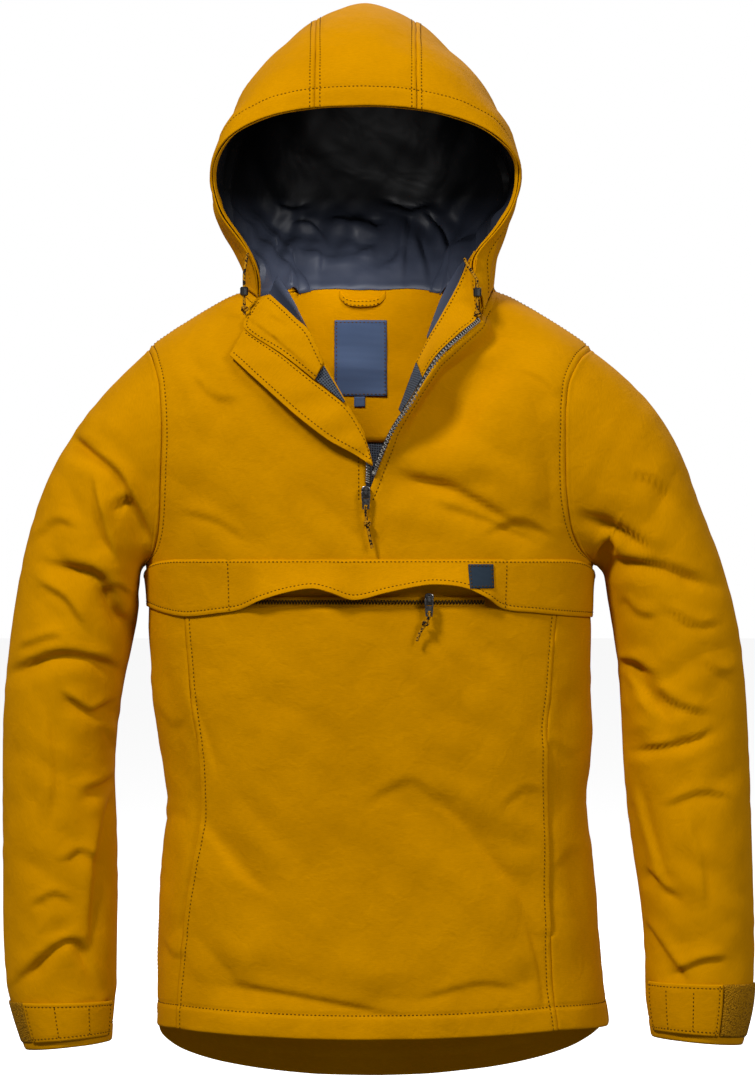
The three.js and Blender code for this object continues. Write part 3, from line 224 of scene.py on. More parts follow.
# The body: a hollow trunk whose plan is a superellipse, rolled over the shoulders by another one,
# so that cloth panels can be cut from it by height and angle. Millimetres, front towards -Y.
ROUND = 2.4
ROLL_START = -130
UNDERARM = -264
FRONT_HEM = -724
FRONT_DIP = 7
BACK_TAIL = 62
CENTRE = -4
SHOULDER_POINT = 221
TORSO = np.array([  # height; half width left and right; half depth front and back
    (-790, 212, 241, 112, 120), (-735, 212, 239, 112, 116), (-680, 212, 233, 112, 114),
    (-600, 211, 226, 112, 108), (-540, 206, 220, 113, 104), (-500, 202, 216, 115, 100),
    (-440, 211, 222, 118, 100), (-400, 217, 221, 120, 103), (-340, 220, 220, 122, 108),
    (-265, 224, 223, 123, 113), (-150, 252, 250, 122, 116), (-60, 255, 252, 118, 114),
    (80, 255, 252, 118, 114)], float)
SHOULDER = np.array([  # distance from the centre; height of the shoulder line
    (0, 75), (30, 70), (58, 57), (85, 38), (100, 26), (116, 13), (124, 9), (130, 7), (146, 0),
    (180, -20), (213, -42), (221, -50), (240, -66)], float)
PRINCESS = np.array([  # height; where the front's side seams run, left and right
    (-725, -192.6, 186), (-680, -190, 181), (-600, -181.4, 177.4), (-519, -167.6, 176),
    (-461, -167.6, 175), (-396, -176.9, 177.7), (-319, -182.7, 184.3), (-263, -186, 188)], float)
# Creases: face (-1 is the front), from x, z to x, z, width, depth, and how far its middle bows.
BODY_CREASES = [
    (-1, 44, -182, 148, -226, 20, 6, 6), (-1, 60, -176, 110, -186, 10, 2.2, -3),
    (-1, 9, -489, 137, -572, 22, 5, 8), (-1, 70, -500, 150, -540, 12, 2, -5),
    (-1, -153, -526, -101, -609, 20, 4, 6), (-1, -120, -500, -60, -560, 12, 1.8, -4),
    (-1, -138, -682, -10, -700, 20, 4, 5), (-1, 20, -690, 150, -676, 14, 2, -4),
    (-1, 120, -350, 168, -420, 13, 2.4, 5),
    (-1, -165, -640, -120, -700, 12, 2.2, 4), (-1, 150, -600, 170, -690, 11, 2.4, 3),
    (-1, -180, -190, -120, -236, 14, 2.6, 4), (-1, -150, -120, -176, -200, 12, 2.4, -4),
    (-1, 165, -120, 178, -205, 12, 2.6, 4), (-1, 120, -70, 168, -100, 12, 2.2, 3),
    (-1, -178, -60, -150, -110, 11, 2, 3), (-1, 86, -120, 140, -160, 13, 2.2, -4),
    (-1, -60, -196, -20, -232, 12, 2, 3), (-1, 20, -200, 10, -244, 10, 1.8, 2),
    (-1, -100, -400, -40, -430, 16, 1.6, 5), (-1, 40, -380, 100, -420, 15, 1.6, -5),
    (-1, -200, -380, -186, -470, 9, 2.4, 2), (-1, 196, -400, 190, -500, 9, 2.4, -2),
    (-1, -196, -560, -206, -650, 9, 2.2, -2), (-1, 200, -560, 216, -640, 10, 2.4, 2),
    (1, -150, -250, -40, -310, 24, 7, 8), (1, 140, -300, 60, -390, 22, 6, 8),
    (1, -120, -520, 30, -570, 24, 6, 7), (1, 130, -610, 60, -690, 22, 5, 6),
    (1, -170, -150, -120, -230, 14, 3, 4), (1, 170, -150, 130, -226, 14, 3, -4),
    (1, -60, -380, 20, -420, 14, 2.4, 5), (1, -160, -620, -90, -700, 15, 2.6, 5),
    (1, 20, -470, 110, -500, 14, 2.2, -5), (1, -90, -60, 60, -76, 16, 2.4, 6),
]


def bell(x, middle, width):
    """Bell curve: 1 at the middle, and 1/e at a width from it."""
    return np.exp(-(((x - middle) / width) ** 2))


def crease_depth(table, face, x, z):
    """Sum of the creases: each is a soft-cusped trough along a bowed line, with a low crest on both
    sides, and fades past its ends over its own width."""
    depth = np.zeros(np.broadcast(x, z).shape)
    for side, x1, z1, x2, z2, width, deep, bow in table:
        if side != face:
            continue
        run = math.hypot(x2 - x1, z2 - z1)
        cos, sin = (x2 - x1) / run, (z2 - z1) / run
        on = (x - x1) * cos + (z - z1) * sin
        t = np.clip(on / run, 0, 1)
        off = ((z - z1) * cos - (x - x1) * sin - bow * 4 * t * (1 - t)) / width
        past = np.maximum(0, np.maximum(-on, on - run)) / (1.4 * width)
        trough = np.exp(0.2 - 1.25 * np.sqrt(off * off + 0.025))
        crest = 0.42 * bell(np.abs(off), 1.7, 0.8)
        depth += deep * (trough - crest) * np.exp(-past * past) * (0.75 + 0.25 * np.cos(5 * t + x1))
    return depth


BODY_FOLDS = [  # face; width, depth; 1 if its steep side faces down or right, -1 if up or left; x, z...
    (-1, 17, 4.6, 1, 43, -178, 87, -190, 160, -234), (-1, 13, 2.4, 1, 70, -205, 120, -222, 168, -244),
    (-1, 11, 2.4, 1, 5, -493, 41, -477, 72, -503), (-1, 14, 3, -1, 72, -503, 110, -545, 166, -613),
    (-1, 13, 2.6, -1, -163, -524, -130, -566, -95, -592),
    (-1, 12, 3, 1, -120, -680, -63, -689, 30, -707), (-1, 10, 1.8, 1, 60, -688, 110, -676, 150, -684),
    (-1, 9, 2, 1, -180, -214, -150, -222, -118, -244), (-1, 9, 2, 1, 120, -232, 150, -222, 180, -236),
    (-1, 8, 1.8, -1, -176, -396, -160, -440, -150, -480), (-1, 8, 2, 1, 132, -500, 152, -486, 172, -490),
    (-1, 8, 2.2, 1, -208, -410, -196, -424, -180, -416), (-1, 8, 2.2, 1, -206, -520, -194, -508, -176, -516),
    (-1, 8, 2, 1, 182, -440, 198, -452, 214, -444), (-1, 8, 2, 1, 186, -560, 204, -548, 222, -556),
    (-1, 9, 1.6, -1, 60, -340, 84, -372, 92, -410),
    (-1, 8, 1.8, 1, -206, -640, -194, -652, -180, -648), (-1, 9, 2, -1, 158, -628, 168, -668, 172, -700),
    (-1, 8, 1.6, 1, 150, -70, 172, -84, 186, -104), (-1, 9, 1.8, 1, -170, -84, -154, -100, -126, -104),
    (1, 15, 4, 1, -150, -246, -100, -262, -40, -306), (1, 14, 3.6, -1, 140, -296, 104, -330, 60, -386),
    (1, 14, 3.6, 1, -120, -516, -50, -534, 30, -566), (1, 12, 3, 1, 60, -640, 100, -622, 130, -610),
    (1, 10, 2.4, 1, -60, -76, 0, -66, 70, -80), (1, 11, 2.4, -1, -150, -330, -130, -380, -126, -430),
    (1, 10, 2.2, 1, 20, -430, 70, -444, 120, -436), (1, 11, 2.6, 1, -170, -640, -120, -656, -60, -650),
]


def fold_depth(table, face, x, z):
    """Sum of the folds: each follows a smooth line; the cloth rises to a crest on one side of it, drops
    steeply across it, and comes back slowly from there. A fold fades towards its ends."""
    depth = np.zeros(np.broadcast(x, z).shape)
    for side, width, deep, lee, *line in table:
        if side != face:
            continue
        line = smooth_line(np.reshape(line, (-1, 2)), 9)
        best = np.full(depth.shape, 1e9)
        off, on = np.zeros(depth.shape), np.zeros(depth.shape)
        for i, ((x1, z1), (x2, z2)) in enumerate(zip(line[:-1], line[1:])):
            run = math.hypot(x2 - x1, z2 - z1)
            t = ((x - x1) * (x2 - x1) + (z - z1) * (z2 - z1)) / run ** 2
            low, high = (-9 if i == 0 else 0), (9 if i == 7 else 1)
            t = np.clip(t, low, high)
            far = np.hypot(x - x1 - t * (x2 - x1), z - z1 - t * (z2 - z1))
            nearer = far < best
            best = np.where(nearer, far, best)
            across = ((z - z1) * (x2 - x1) - (x - x1) * (z2 - z1)) / run
            off = np.where(nearer, lee * across / width, off)
            on = np.where(nearer, (i + t) / 8, on)
        drop = 1 / (1 + np.exp(np.clip(off * min(11, width / 1.2), -40, 40)))
        trough = drop * np.exp(np.minimum(off, 0) / 0.75)
        crest = 0.45 * (1 - drop) * bell(off, 0.4, 0.75)
        fade = bell(np.maximum(0, np.abs(on - 0.42) - 0.3), 0, 0.2)
        depth += deep * (trough - crest) * fade
    return depth


def ripples(x, z):
    """Slight unevenness of worn cloth: six slanted sine waves of 34 to 110 mm, bent by each other."""
    bent_x = x + 9 * np.sin(z / 41 + 0.4)
    bent_z = z + 11 * np.sin(x / 37 + 1.1)
    waves = [(17, 31, 0.3, 0.5), (-23, 14, 1.7, 0.4), (9, -19, 2.9, 0.3), (12, 7, 4.1, 0.2),
             (-7, 12, 5.2, 0.17), (5.4, 8.5, 0.9, 0.13)]
    return 0.6 * sum(a * np.sin(bent_x / p + bent_z / q + s) for p, q, s, a in waves)


def body_wear(face, points, folds=1.0):
    """Depth of the trunk's creases and folds at places on one face."""
    x, z = points[..., 0], points[..., 2]
    return crease_depth(BODY_CREASES, face, x, z) + folds * fold_depth(BODY_FOLDS, face, x, z)


def two_sided(side, z, columns):
    """A measure of the trunk at a height: from the first column where the side is negative."""
    low, high = (along(z, TORSO[:, 0], TORSO[:, c]) for c in columns)
    return np.where(side < 0, low, high)


def half_width(side, z):
    return two_sided(side, z, (1, 2))


def half_depth(face, z):
    return two_sided(face, z, (3, 4))


def shoulder(x):
    return along(np.abs(x), SHOULDER[:, 0], SHOULDER[:, 1])


def roll(x, z):
    return np.maximum(0, (z - ROLL_START) / (shoulder(x) - ROLL_START))


def body_smooth(angle, z, face):
    """Place on the trunk: x is the half width times the sine to the power 2/ROUND, and y the half
    depth times the root of what the sine and the shoulder's roll leave."""
    angle, z = np.broadcast_arrays(np.asarray(angle, float), np.asarray(z, float))
    side = np.where(angle < 0, -1, 1)
    x = side * half_width(side, z) * np.abs(np.sin(angle)) ** (2 / ROUND)
    left = np.maximum(0, 1 - roll(x, z) ** ROUND)
    y = face * half_depth(face, z) * (np.maximum(0, np.cos(angle)) ** 2 * left) ** (1 / ROUND)
    return np.stack([x, y, z], axis=-1)


def angle_at(x, z):
    side = np.where(x < 0, -1, 1)
    return side * np.arcsin(np.minimum(1, np.abs(x) / half_width(side, z)) ** (ROUND / 2))


def body_at(x, z, face):
    return body_smooth(angle_at(x, z), z, face)


def on_shoulders(x, y):
    """Height of the shoulders above a point of the plan."""
    across = (np.abs(x) / half_width(np.where(x < 0, -1, 1), 0 * x)) ** ROUND
    deep = (np.abs(y) / half_depth(np.where(y < 0, -1, 1), 0 * x)) ** ROUND
    up = np.maximum(0, 1 - deep / (1 - across)) ** (1 / ROUND)
    return np.stack([x + 0 * y, y + 0 * x, ROLL_START + up * (shoulder(x) - ROLL_START)], axis=-1)


def princess(side, z):
    return along(z, PRINCESS[:, 0], PRINCESS[:, 1 if side < 0 else 2])


def front_x(share, z):
    edge = np.where(share < 0, princess(-1, z), princess(1, z))
    return CENTRE + (edge - CENTRE) * np.abs(share)


def outward(points, middle):
    """Unit normals of a grid of places, turned away from middle; with the sign that was used."""
    down = np.gradient(points, axis=0)
    across = np.gradient(points, axis=1)
    normal = np.cross(across, down)
    normal /= np.maximum(np.linalg.norm(normal, axis=-1, keepdims=True), 1e-9)
    sign = -1 if (normal * (points - np.asarray(middle, float))).sum() < 0 else 1
    return normal * sign, sign


def sunk(points, middle, depth):
    """Moves a sheet against its outward directions by a depth, which may differ from place to place."""
    return points - depth[..., None] * outward(points, middle)[0]


def bunched(count, share=0.6):
    """Places from 0 to 1, closer together at both ends, where seams and stitching lie."""
    t = np.linspace(0, 1, count)
    return t - share * np.sin(2 * math.pi * t) / (2 * math.pi)


def seam_relief(distance, run, seed, stitch=6):
    """Depth beside a sewn seam: the cloth dips into the seam, stands up over the turned-in cloth, is
    drawn in by the row of stitches, and puckers across the seam, less and less away from it."""
    dip = 0.6 * bell(distance, 0, 1.2)
    pad = -0.3 * bell(distance, 0.55 * stitch, 2.0)
    drawn = 0.4 * bell(distance, stitch, 1.2)
    waves = sum(a * np.sin(run / p + f * seed) for p, f, a in ((4.3, 1, 1), (7.1, 2.3, 0.7), (2.9, 3.1, 0.6)))
    uneven = 0.55 + 0.45 * np.sin(run / 23 + seed)
    return dip + pad + drawn + 0.34 * uneven * waves * np.exp(-distance / 8) * (1 - np.exp(-distance / 1.5))


def run_along(points, axis):
    """Distance travelled along a line, or along the rows or columns of a grid, up to each place."""
    steps = np.linalg.norm(np.diff(points, axis=axis), axis=-1)
    return np.concatenate([0 * steps.take([0], axis), np.cumsum(steps, axis)], axis)


def edge_distance(points, side):
    """Distance of each place from the grid's edge on its own row or column, and the run along it."""
    edge = {"left": points[:, :1], "right": points[:, -1:], "low": points[:1], "high": points[-1:]}[side]
    distance = np.linalg.norm(points - edge, axis=-1)
    line = edge.reshape(-1, 3)
    steps = run_along(line, 0)
    run = steps[:, None] if side in ("left", "right") else steps[None, :]
    return distance, run


def seams(points, edges, stitch):
    """Depth beside several sewn edges of a grid, each given with a number that sets its puckers."""
    return sum(seam_relief(*edge_distance(points, edge), seed, stitch) for edge, seed in edges)


def sheet_faces(rows, columns, start=0):
    j, i = np.meshgrid(np.arange(rows - 1), np.arange(columns - 1), indexing="ij")
    a = start + j * columns + i
    return np.stack([a, a + 1, a + 1 + columns, a + columns], axis=-1).reshape(-1, 4)


# Shell cloth: a tight plain weave of cotton and polyester, dyed ochre and washed. A thread is about
# 0.35 mm; it is drawn 1 mm wide so that the weave shows at all. Matt, with a faint lighter bloom.
shell_cloth, tree, shader = new_finish("washed_cotton_weave", 0.85, Sheen_Weight=0.06, Sheen_Roughness=0.5,
                                       Sheen_Tint=linear("#d89400"), Specular_IOR_Level=0.1,
                                       Specular_Tint=linear("#d89400"))
cloth_uv = node(tree, "ShaderNodeTexCoord").outputs["UV"]
spot = node(tree, "ShaderNodeTexCoord").outputs["Object"]
weft, warp = (node(tree, "ShaderNodeTexWave", {"bands_direction": way, "Scale": wave_scale(period),
                                               "Distortion": 1.5, "Detail": 1, "Detail Scale": 3},
                   {"Vector": cloth_uv}) for way, period in (("X", 0.001), ("Y", 0.0011)))
weave = node(tree, "ShaderNodeMath", {"operation": "MULTIPLY"},
             {0: weft.outputs["Fac"], 1: warp.outputs["Fac"]})
mottle = node(tree, "ShaderNodeTexNoise", {"Scale": 14, "Detail": 5, "Roughness": 0.6}, {"Vector": spot})
slub_place = node(tree, "ShaderNodeMapping", {"Scale": (160, 900, 1)}, {"Vector": cloth_uv})
slubs = node(tree, "ShaderNodeTexNoise", {"Scale": 1, "Detail": 2}, {"Vector": slub_place.outputs["Vector"]})
dye = node(tree, "ShaderNodeValToRGB", None, {"Fac": mottle.outputs["Fac"]})
dye.color_ramp.elements[0].position = 0.3
dye.color_ramp.elements[0].color = linear("#c68600")
dye.color_ramp.elements[1].position = 0.72
dye.color_ramp.elements[1].color = linear("#d39000")
threads = node(tree, "ShaderNodeMix", {"data_type": "RGBA", "blend_type": "MULTIPLY", "Factor": 0.22},
               {6: dye.outputs["Color"], 7: slubs.outputs["Fac"]})
tree.links.new(threads.outputs[2], shader.inputs["Base Color"])
crinkle = node(tree, "ShaderNodeTexNoise", {"Scale": 55, "Detail": 4, "Roughness": 0.55, "Distortion": 0.6},
               {"Vector": spot})
weave_bump = node(tree, "ShaderNodeBump", {"Strength": 0.35, "Distance": 0.0003},
                  {"Height": weave.outputs["Value"]})
crinkle_bump = node(tree, "ShaderNodeBump", {"Strength": 0.35, "Distance": 0.003},
                    {"Height": crinkle.outputs["Fac"], "Normal": weave_bump.outputs["Normal"]})
tree.links.new(crinkle_bump.outputs["Normal"], shader.inputs["Normal"])

CLOTH = 1.5
stitch_lines = {}


def cloth_piece(name, grids, replaced, thickness=CLOTH, material=shell_cloth):
    """A sewn piece: one or more grids of places become one sheet of quads, welded where they meet,
    with its wall grown inwards. A grid comes with the side that it faces away from."""
    places, faces, uvs, start = [], [], [], 0
    for points, middle in grids:
        rows, columns = points.shape[:2]
        _, sign = outward(points, middle)
        quads = sheet_faces(rows, columns, start)
        faces.append(quads if sign > 0 else quads[:, ::-1])
        places.append(points.reshape(-1, 3))
        u, v = run_along(points, 1), run_along(points, 0)
        uvs.append(np.stack([u - u[:, columns // 2][:, None], v], axis=-1).reshape(-1, 2))
        start += rows * columns
    piece = mesh_piece(name, np.concatenate(places), np.concatenate(faces), material, "garment",
                       replaced, np.concatenate(uvs))
    if len(grids) > 1:
        work = bmesh.new()
        work.from_mesh(piece.data)
        bmesh.ops.remove_doubles(work, verts=work.verts, dist=0.02 * MM)
        work.to_mesh(piece.data)
        work.free()
    wall = piece.modifiers.new("wall", "SOLIDIFY")
    wall.thickness = thickness * MM
    wall.offset = -1


def stitch_along(group, points, normals):
    """Remembers a row of stitches: a line of places on a finished sheet and its outward directions."""
    stitch_lines.setdefault(group, []).append((points, normals))


def pick(grid, rows, columns):
    """Places between a grid's points, by fractions of its rows and columns."""
    rows, columns = np.broadcast_arrays(np.asarray(rows, float), np.asarray(columns, float))
    j = np.clip(np.floor(rows).astype(int), 0, grid.shape[0] - 2)
    i = np.clip(np.floor(columns).astype(int), 0, grid.shape[1] - 2)
    t, s = (rows - j)[..., None], (columns - i)[..., None]
    low = grid[j, i] * (1 - s) + grid[j, i + 1] * s
    high = grid[j + 1, i] * (1 - s) + grid[j + 1, i + 1] * s
    return low * (1 - t) + high * t


def stitch_beside(group, grid, middle, side, inset, low=0.0, high=1.0):
    """A row of stitches on a grid, one inset from an edge, between two shares of that edge."""
    normals, _ = outward(grid, middle)
    distance, _ = edge_distance(grid, side)
    rows, columns = distance.shape
    if side in ("low", "high"):
        distance = distance.T
        rows, columns = columns, rows
    if side in ("right", "high"):
        distance = distance[:, ::-1]
    at = np.array([np.interp(inset, distance[k], np.arange(columns)) for k in range(rows)])
    if side in ("right", "high"):
        at = columns - 1 - at
    on = np.arange(rows)
    keep = (on >= low * (rows - 1)) & (on <= high * (rows - 1))
    place = (at[keep], on[keep]) if side in ("low", "high") else (on[keep], at[keep])
    stitch_along(group, pick(grid, *place), pick(normals, *place))


# Lower front: one panel from the chest seam to a turned and stitched hem, between the two side
# seams, whose middle parts are left open as mouths of the hand pockets.
SEAM = 0.3
POCKET_LOW, POCKET_HIGH, POCKET_LIP = -632, -438, 1.2
INSIDE = (0, 0, -450)
HEM = 24


def hem_relief(points, waviness=1.0):
    """Depth near a hem: the doubled cloth stands out below its row of stitches, which draws it in,
    and the edge itself is rounded and slightly wavy."""
    distance, run = edge_distance(points, "low")
    doubled = -0.7 / (1 + np.exp((distance - HEM + 2) / 1.2))
    waves = np.sin(run / 17 + 1) + 0.8 * np.sin(run / 9.3 + 2.2) + 0.6 * np.sin(run / 31)
    waves = waviness * 0.5 * waves * np.exp(-distance / 26)
    return doubled + 0.9 * bell(distance, HEM, 1.6) + waves + 0.7 * bell(distance, 0, 1.2)


def pocket_mouth(z):
    """1 beside the mouth of a hand pocket, and 0 above and below it."""
    return np.clip((z - POCKET_LOW) / 6, 0, 1) * np.clip((POCKET_HIGH - z) / 6, 0, 1)


up = bunched(150, 0.5)[:, None]
share = bunched(150, 0.62)[None, :] * 2 - 1
front_hem = FRONT_HEM - FRONT_DIP * (1 - share ** 2)
front_z = front_hem + (UNDERARM - SEAM - front_hem) * up
front = body_at(front_x(share + 0 * up, front_z), front_z, -1)
depth = body_wear(-1, front) + ripples(front[..., 0], front_z)
for side, seed in (("left", 1), ("right", 4)):
    gap, run = edge_distance(front, side)
    mouth = pocket_mouth(front_z)
    depth += (1 - 0.8 * mouth) * seam_relief(gap, run, seed) - POCKET_LIP * mouth * bell(gap, 0, 14)
mouth = bell(np.maximum(0, np.abs(front[..., 0] - 3) - 112), 0, 12)
depth += 7 * mouth * np.exp(-(((front_z + 296) / 10) ** 4)) + hem_relief(front)
front_low = sunk(front, INSIDE, depth)
cloth_piece("lower_front_panel", [(front_low, INSIDE)], ["front_lower"])
for side in ("left", "right"):
    stitch_beside("stitching_lower_front", front_low, INSIDE, side, 6)
stitch_beside("stitching_lower_front", front_low, INSIDE, "low", HEM)

# Side panels: from the side seams of the front round to the middle of the side, where they meet
# the back. They are cut from the same cloth and share its hem.


def side_angle(side, share, z):
    start = angle_at(princess(side, z), z)
    return start + (side * math.pi / 2 - start) * share


for side, name in ((-1, "left"), (1, "right")):
    up = bunched(130, 0.5)[:, None]
    flank = bunched(30, 0.6)[None, :]
    z = FRONT_HEM + (UNDERARM - SEAM - FRONT_HEM) * up + 0 * flank
    panel = body_smooth(side_angle(side, flank, z), z, -1)
    depth = body_wear(-1, panel) + ripples(panel[..., 0] + 40, z) + hem_relief(panel, 0.6)
    depth += seams(panel, [("left", 2.5)], 40) + seams(panel, [("right", 5.5)], 6)
    gap, _ = edge_distance(panel, "left")
    depth += 2.2 * pocket_mouth(z) * bell(gap, 0, 9)
    panel = sunk(panel, INSIDE, depth)
    panel[:, -1, 1] = np.minimum(panel[:, -1, 1], -SEAM / 2)
    cloth_piece(f"side_panel_{name}", [(panel, INSIDE)], [f"side_{name}"])
    stitch_beside(f"stitching_side_{name}", panel, INSIDE, "low", HEM)


# Armholes and neck: lines on the trunk that the chest, back, sleeves and hood all share.
ARMHOLE = np.array([  # height; share of the half width, left and right
    (-264, 1, 1), (-250, 0.943, 0.925), (-222, 0.891, 0.85), (-190, 0.851, 0.802),
    (-140, 0.8115, 0.768), (-90, 0.815, 0.775), (-60, 0.847, 0.831)], float)
NECK = np.array([  # number along the neck seam; x; y on the left and right
    (0, 113, -60, -77), (1, 118, -44, -58), (2, 122, -24, -30), (3, 124, 0, 0), (4, 124, 12, 12),
    (5, 120, 26, 26), (6, 114, 40, 40), (7, 106, 51, 51), (8, 97, 60, 60), (9, 87, 68, 68),
    (10, 75, 74, 74)], float)
BACK_NECK_MIDDLE = 88
SHOULDER_HIGH = float(shoulder(SHOULDER_POINT))


def armhole_line(side, turn, face=None):
    """Armhole: from the underarm (0) over the front to the shoulder point (pi) and down the back."""
    z = UNDERARM + (SHOULDER_HIGH - UNDERARM) * (1 - np.cos(turn)) / 2
    top = SHOULDER_POINT / half_width(side, SHOULDER_HIGH)
    stops = np.append(ARMHOLE[:, 0], SHOULDER_HIGH)
    share = along(z, stops, np.append(ARMHOLE[:, 1 if side < 0 else 2], top))
    angle = side * np.arcsin(np.minimum(1, share) ** (ROUND / 2))
    if face is not None:
        return body_smooth(angle, z, face)
    front, back = body_smooth(angle, z, -1), body_smooth(angle, z, 1)
    return np.where((np.sin(turn) < 0)[..., None], back, front)


def neck_seam(p, side):
    x = side * along(p, NECK[:, 0], NECK[:, 1])
    return on_shoulders(x, along(p, NECK[:, 0], NECK[:, 2 if side < 0 else 3]))


def back_neck(x):
    return on_shoulders(x, BACK_NECK_MIDDLE + (NECK[-1, 2] - BACK_NECK_MIDDLE) * (x / NECK[-1, 1]) ** 2)


def flat_place(points):
    return np.stack([angle_at(points[..., 0], points[..., 2]), points[..., 2]], axis=-1)


def patch(bottom, top, inner, outer, across, up):
    """Coons patch between four edges of (angle, height): the two ruled surfaces less the bilinear one."""
    s, t = across[None, :, None], up[:, None, None]
    ruled = inner[:, None] * (1 - s) + outer[:, None] * s + bottom[None] * (1 - t) + top[None] * t
    corners = ((bottom[0] * (1 - s) + bottom[-1] * s) * (1 - t) + (top[0] * (1 - s) + top[-1] * s) * t)
    return ruled - corners


# Chest: one panel across both shoulders, slit down the middle for the half zip. The zip edge on the
# right stands forward; the left edge is turned out as a lapel.
OPENING = {
    -1: np.array([(-4, -200.7), (-3.8, -171), (-4.4, -136), (-18.7, -112), (-43.6, -68), (-60, -35),
                  (-99.5, 3.4)], float),
    1: np.array([(-4, -200.7), (7.5, -171.3), (22.9, -135.7), (43.1, -104.8), (66.9, -64.3), (90.7, -40.7),
                 (109.8, -24)], float),
}
CHEST_STOPS = [0, 1, 2, 3, 3.5, 4, 4.5, 5, 5.5, 6, 6.5, 7, 8]
VALLEY_DEEP, VALLEY_AT, VALLEY_NEAR, VALLEY_FAR = 19, 20, 11, 44


def smoothstep(x, low, high):
    t = np.clip((x - low) / (high - low), 0, 1)
    return t * t * (3 - 2 * t)


def line_distance(line, x, z):
    """Shortest distance in the front view from places to a line of straight runs."""
    best = np.full(np.broadcast(x, z).shape, 1e9)
    for (x1, z1), (x2, z2) in zip(line[:-1], line[1:]):
        run = (x2 - x1) ** 2 + (z2 - z1) ** 2
        t = np.clip(((x - x1) * (x2 - x1) + (z - z1) * (z2 - z1)) / run, 0, 1)
        best = np.minimum(best, np.hypot(x - x1 - t * (x2 - x1), z - z1 - t * (z2 - z1)))
    return best


def zip_lift(x, z):
    """How far the zip edge stands forward: falls off with the distance from it, with a shallow
    valley beside it, and fades below the slider and towards the collar."""
    d = line_distance(OPENING[1], x, z)
    fade = smoothstep(z, -188, -105) * (1 - smoothstep(z, -95, -26))
    return (20 * np.exp(-d / 20) - 7 * bell(d, 44, 16)) * fade


def chest_half(side):
    """One half of the chest. Columns run from the middle (0) by the side seam (8) to the armhole (12);
    rows run from the chest seam (0) by both ends of the slit (2 and 8) to the shoulder (12)."""
    step = np.concatenate([np.linspace(0, 2, 22)[:-1], np.linspace(2, 12, 84)])
    stop = np.interp(step, np.arange(13), CHEST_STOPS)
    column = bunched(84, 0.45) * 12
    shares, flank = np.minimum(column / 8, 1), np.maximum(column - 8, 0) / 4
    low_z = np.full(len(column), float(UNDERARM))
    edge_x = np.where(flank > 0, 0, front_x(side * shares, low_z))
    low_angle = np.where(flank > 0, side_angle(side, flank, low_z), angle_at(edge_x, low_z))
    bottom = np.stack([low_angle, low_z], axis=-1)
    slit_z = UNDERARM + (OPENING[side][0, 1] - UNDERARM) * np.array([0, 0.5])
    collar = neck_seam(np.arange(4.0), side)[:, [0, 2]]
    rim = np.concatenate([np.stack([[CENTRE, CENTRE], slit_z], axis=-1), OPENING[side], collar])
    rim_line = np.stack([np.interp(step, np.arange(13), rim[:, c]) for c in (0, 1)], axis=-1)
    inner = np.stack([angle_at(rim_line[:, 0], rim_line[:, 1]), rim_line[:, 1]], axis=-1)
    outer = flat_place(armhole_line(side, stop * math.pi / 8, -1))
    top_x = side * (NECK[3, 1] + (SHOULDER_POINT - NECK[3, 1]) * column / 12)
    top = np.stack([angle_at(top_x, shoulder(top_x)), shoulder(top_x)], axis=-1)
    places = patch(bottom, top, inner, outer, column / 12, stop / 8)
    chest = body_smooth(places[..., 0], places[..., 1], -1)
    chest[:, -1] = armhole_line(side, stop * math.pi / 8, -1)
    if side > 0:
        chest[..., 1] -= zip_lift(chest[..., 0], chest[..., 2]) * (step > 2)[:, None]
    fade = np.clip(4 * (1 - roll(chest[..., 0], chest[..., 2])), 0, 1)
    depth = fade * (body_wear(-1, chest, 1.5) + ripples(chest[..., 0], chest[..., 2] + 90))
    if side > 0:
        off = line_distance(OPENING[1], chest[..., 0], chest[..., 2]) - VALLEY_AT
        valley = VALLEY_DEEP * bell(off, 0, np.where(off < 0, VALLEY_NEAR, VALLEY_FAR))
        depth += valley * smoothstep(chest[..., 2], -175, -110) * fade
    depth += seams(chest, [("right", 3 + side), ("high", 6 + side)], 7)
    gap, _ = edge_distance(chest, "left")
    free = (step > 2)[:, None]
    depth += free * (0.6 * bell(gap, 0, 1.5) + 0.5 * bell(gap, 7, 1.4))
    depth[:, 0] = np.where(step > 2, depth[:, 0], ripples(chest[:, 0, 0], chest[:, 0, 2] + 90))
    return sunk(chest, INSIDE, depth)


chest = {side: chest_half(side) for side in (-1, 1)}
cloth_piece("chest_panel", [(chest[-1], INSIDE), (chest[1], INSIDE)], ["front_chest"])
for side in (-1, 1):
    group = "stitching_chest"
    stitch_beside(group, chest[side], INSIDE, "right", 7, 0.02, 0.98)
    stitch_beside(group, chest[side], INSIDE, "high", 7)
    stitch_beside(group, chest[side], INSIDE, "left", 7, 0.2, 0.86)


# Back: one panel from the neck and shoulders to the dropped tail.
TAIL_END = {-1: 1, 1: 0.87}
TAIL_ROWS = 80


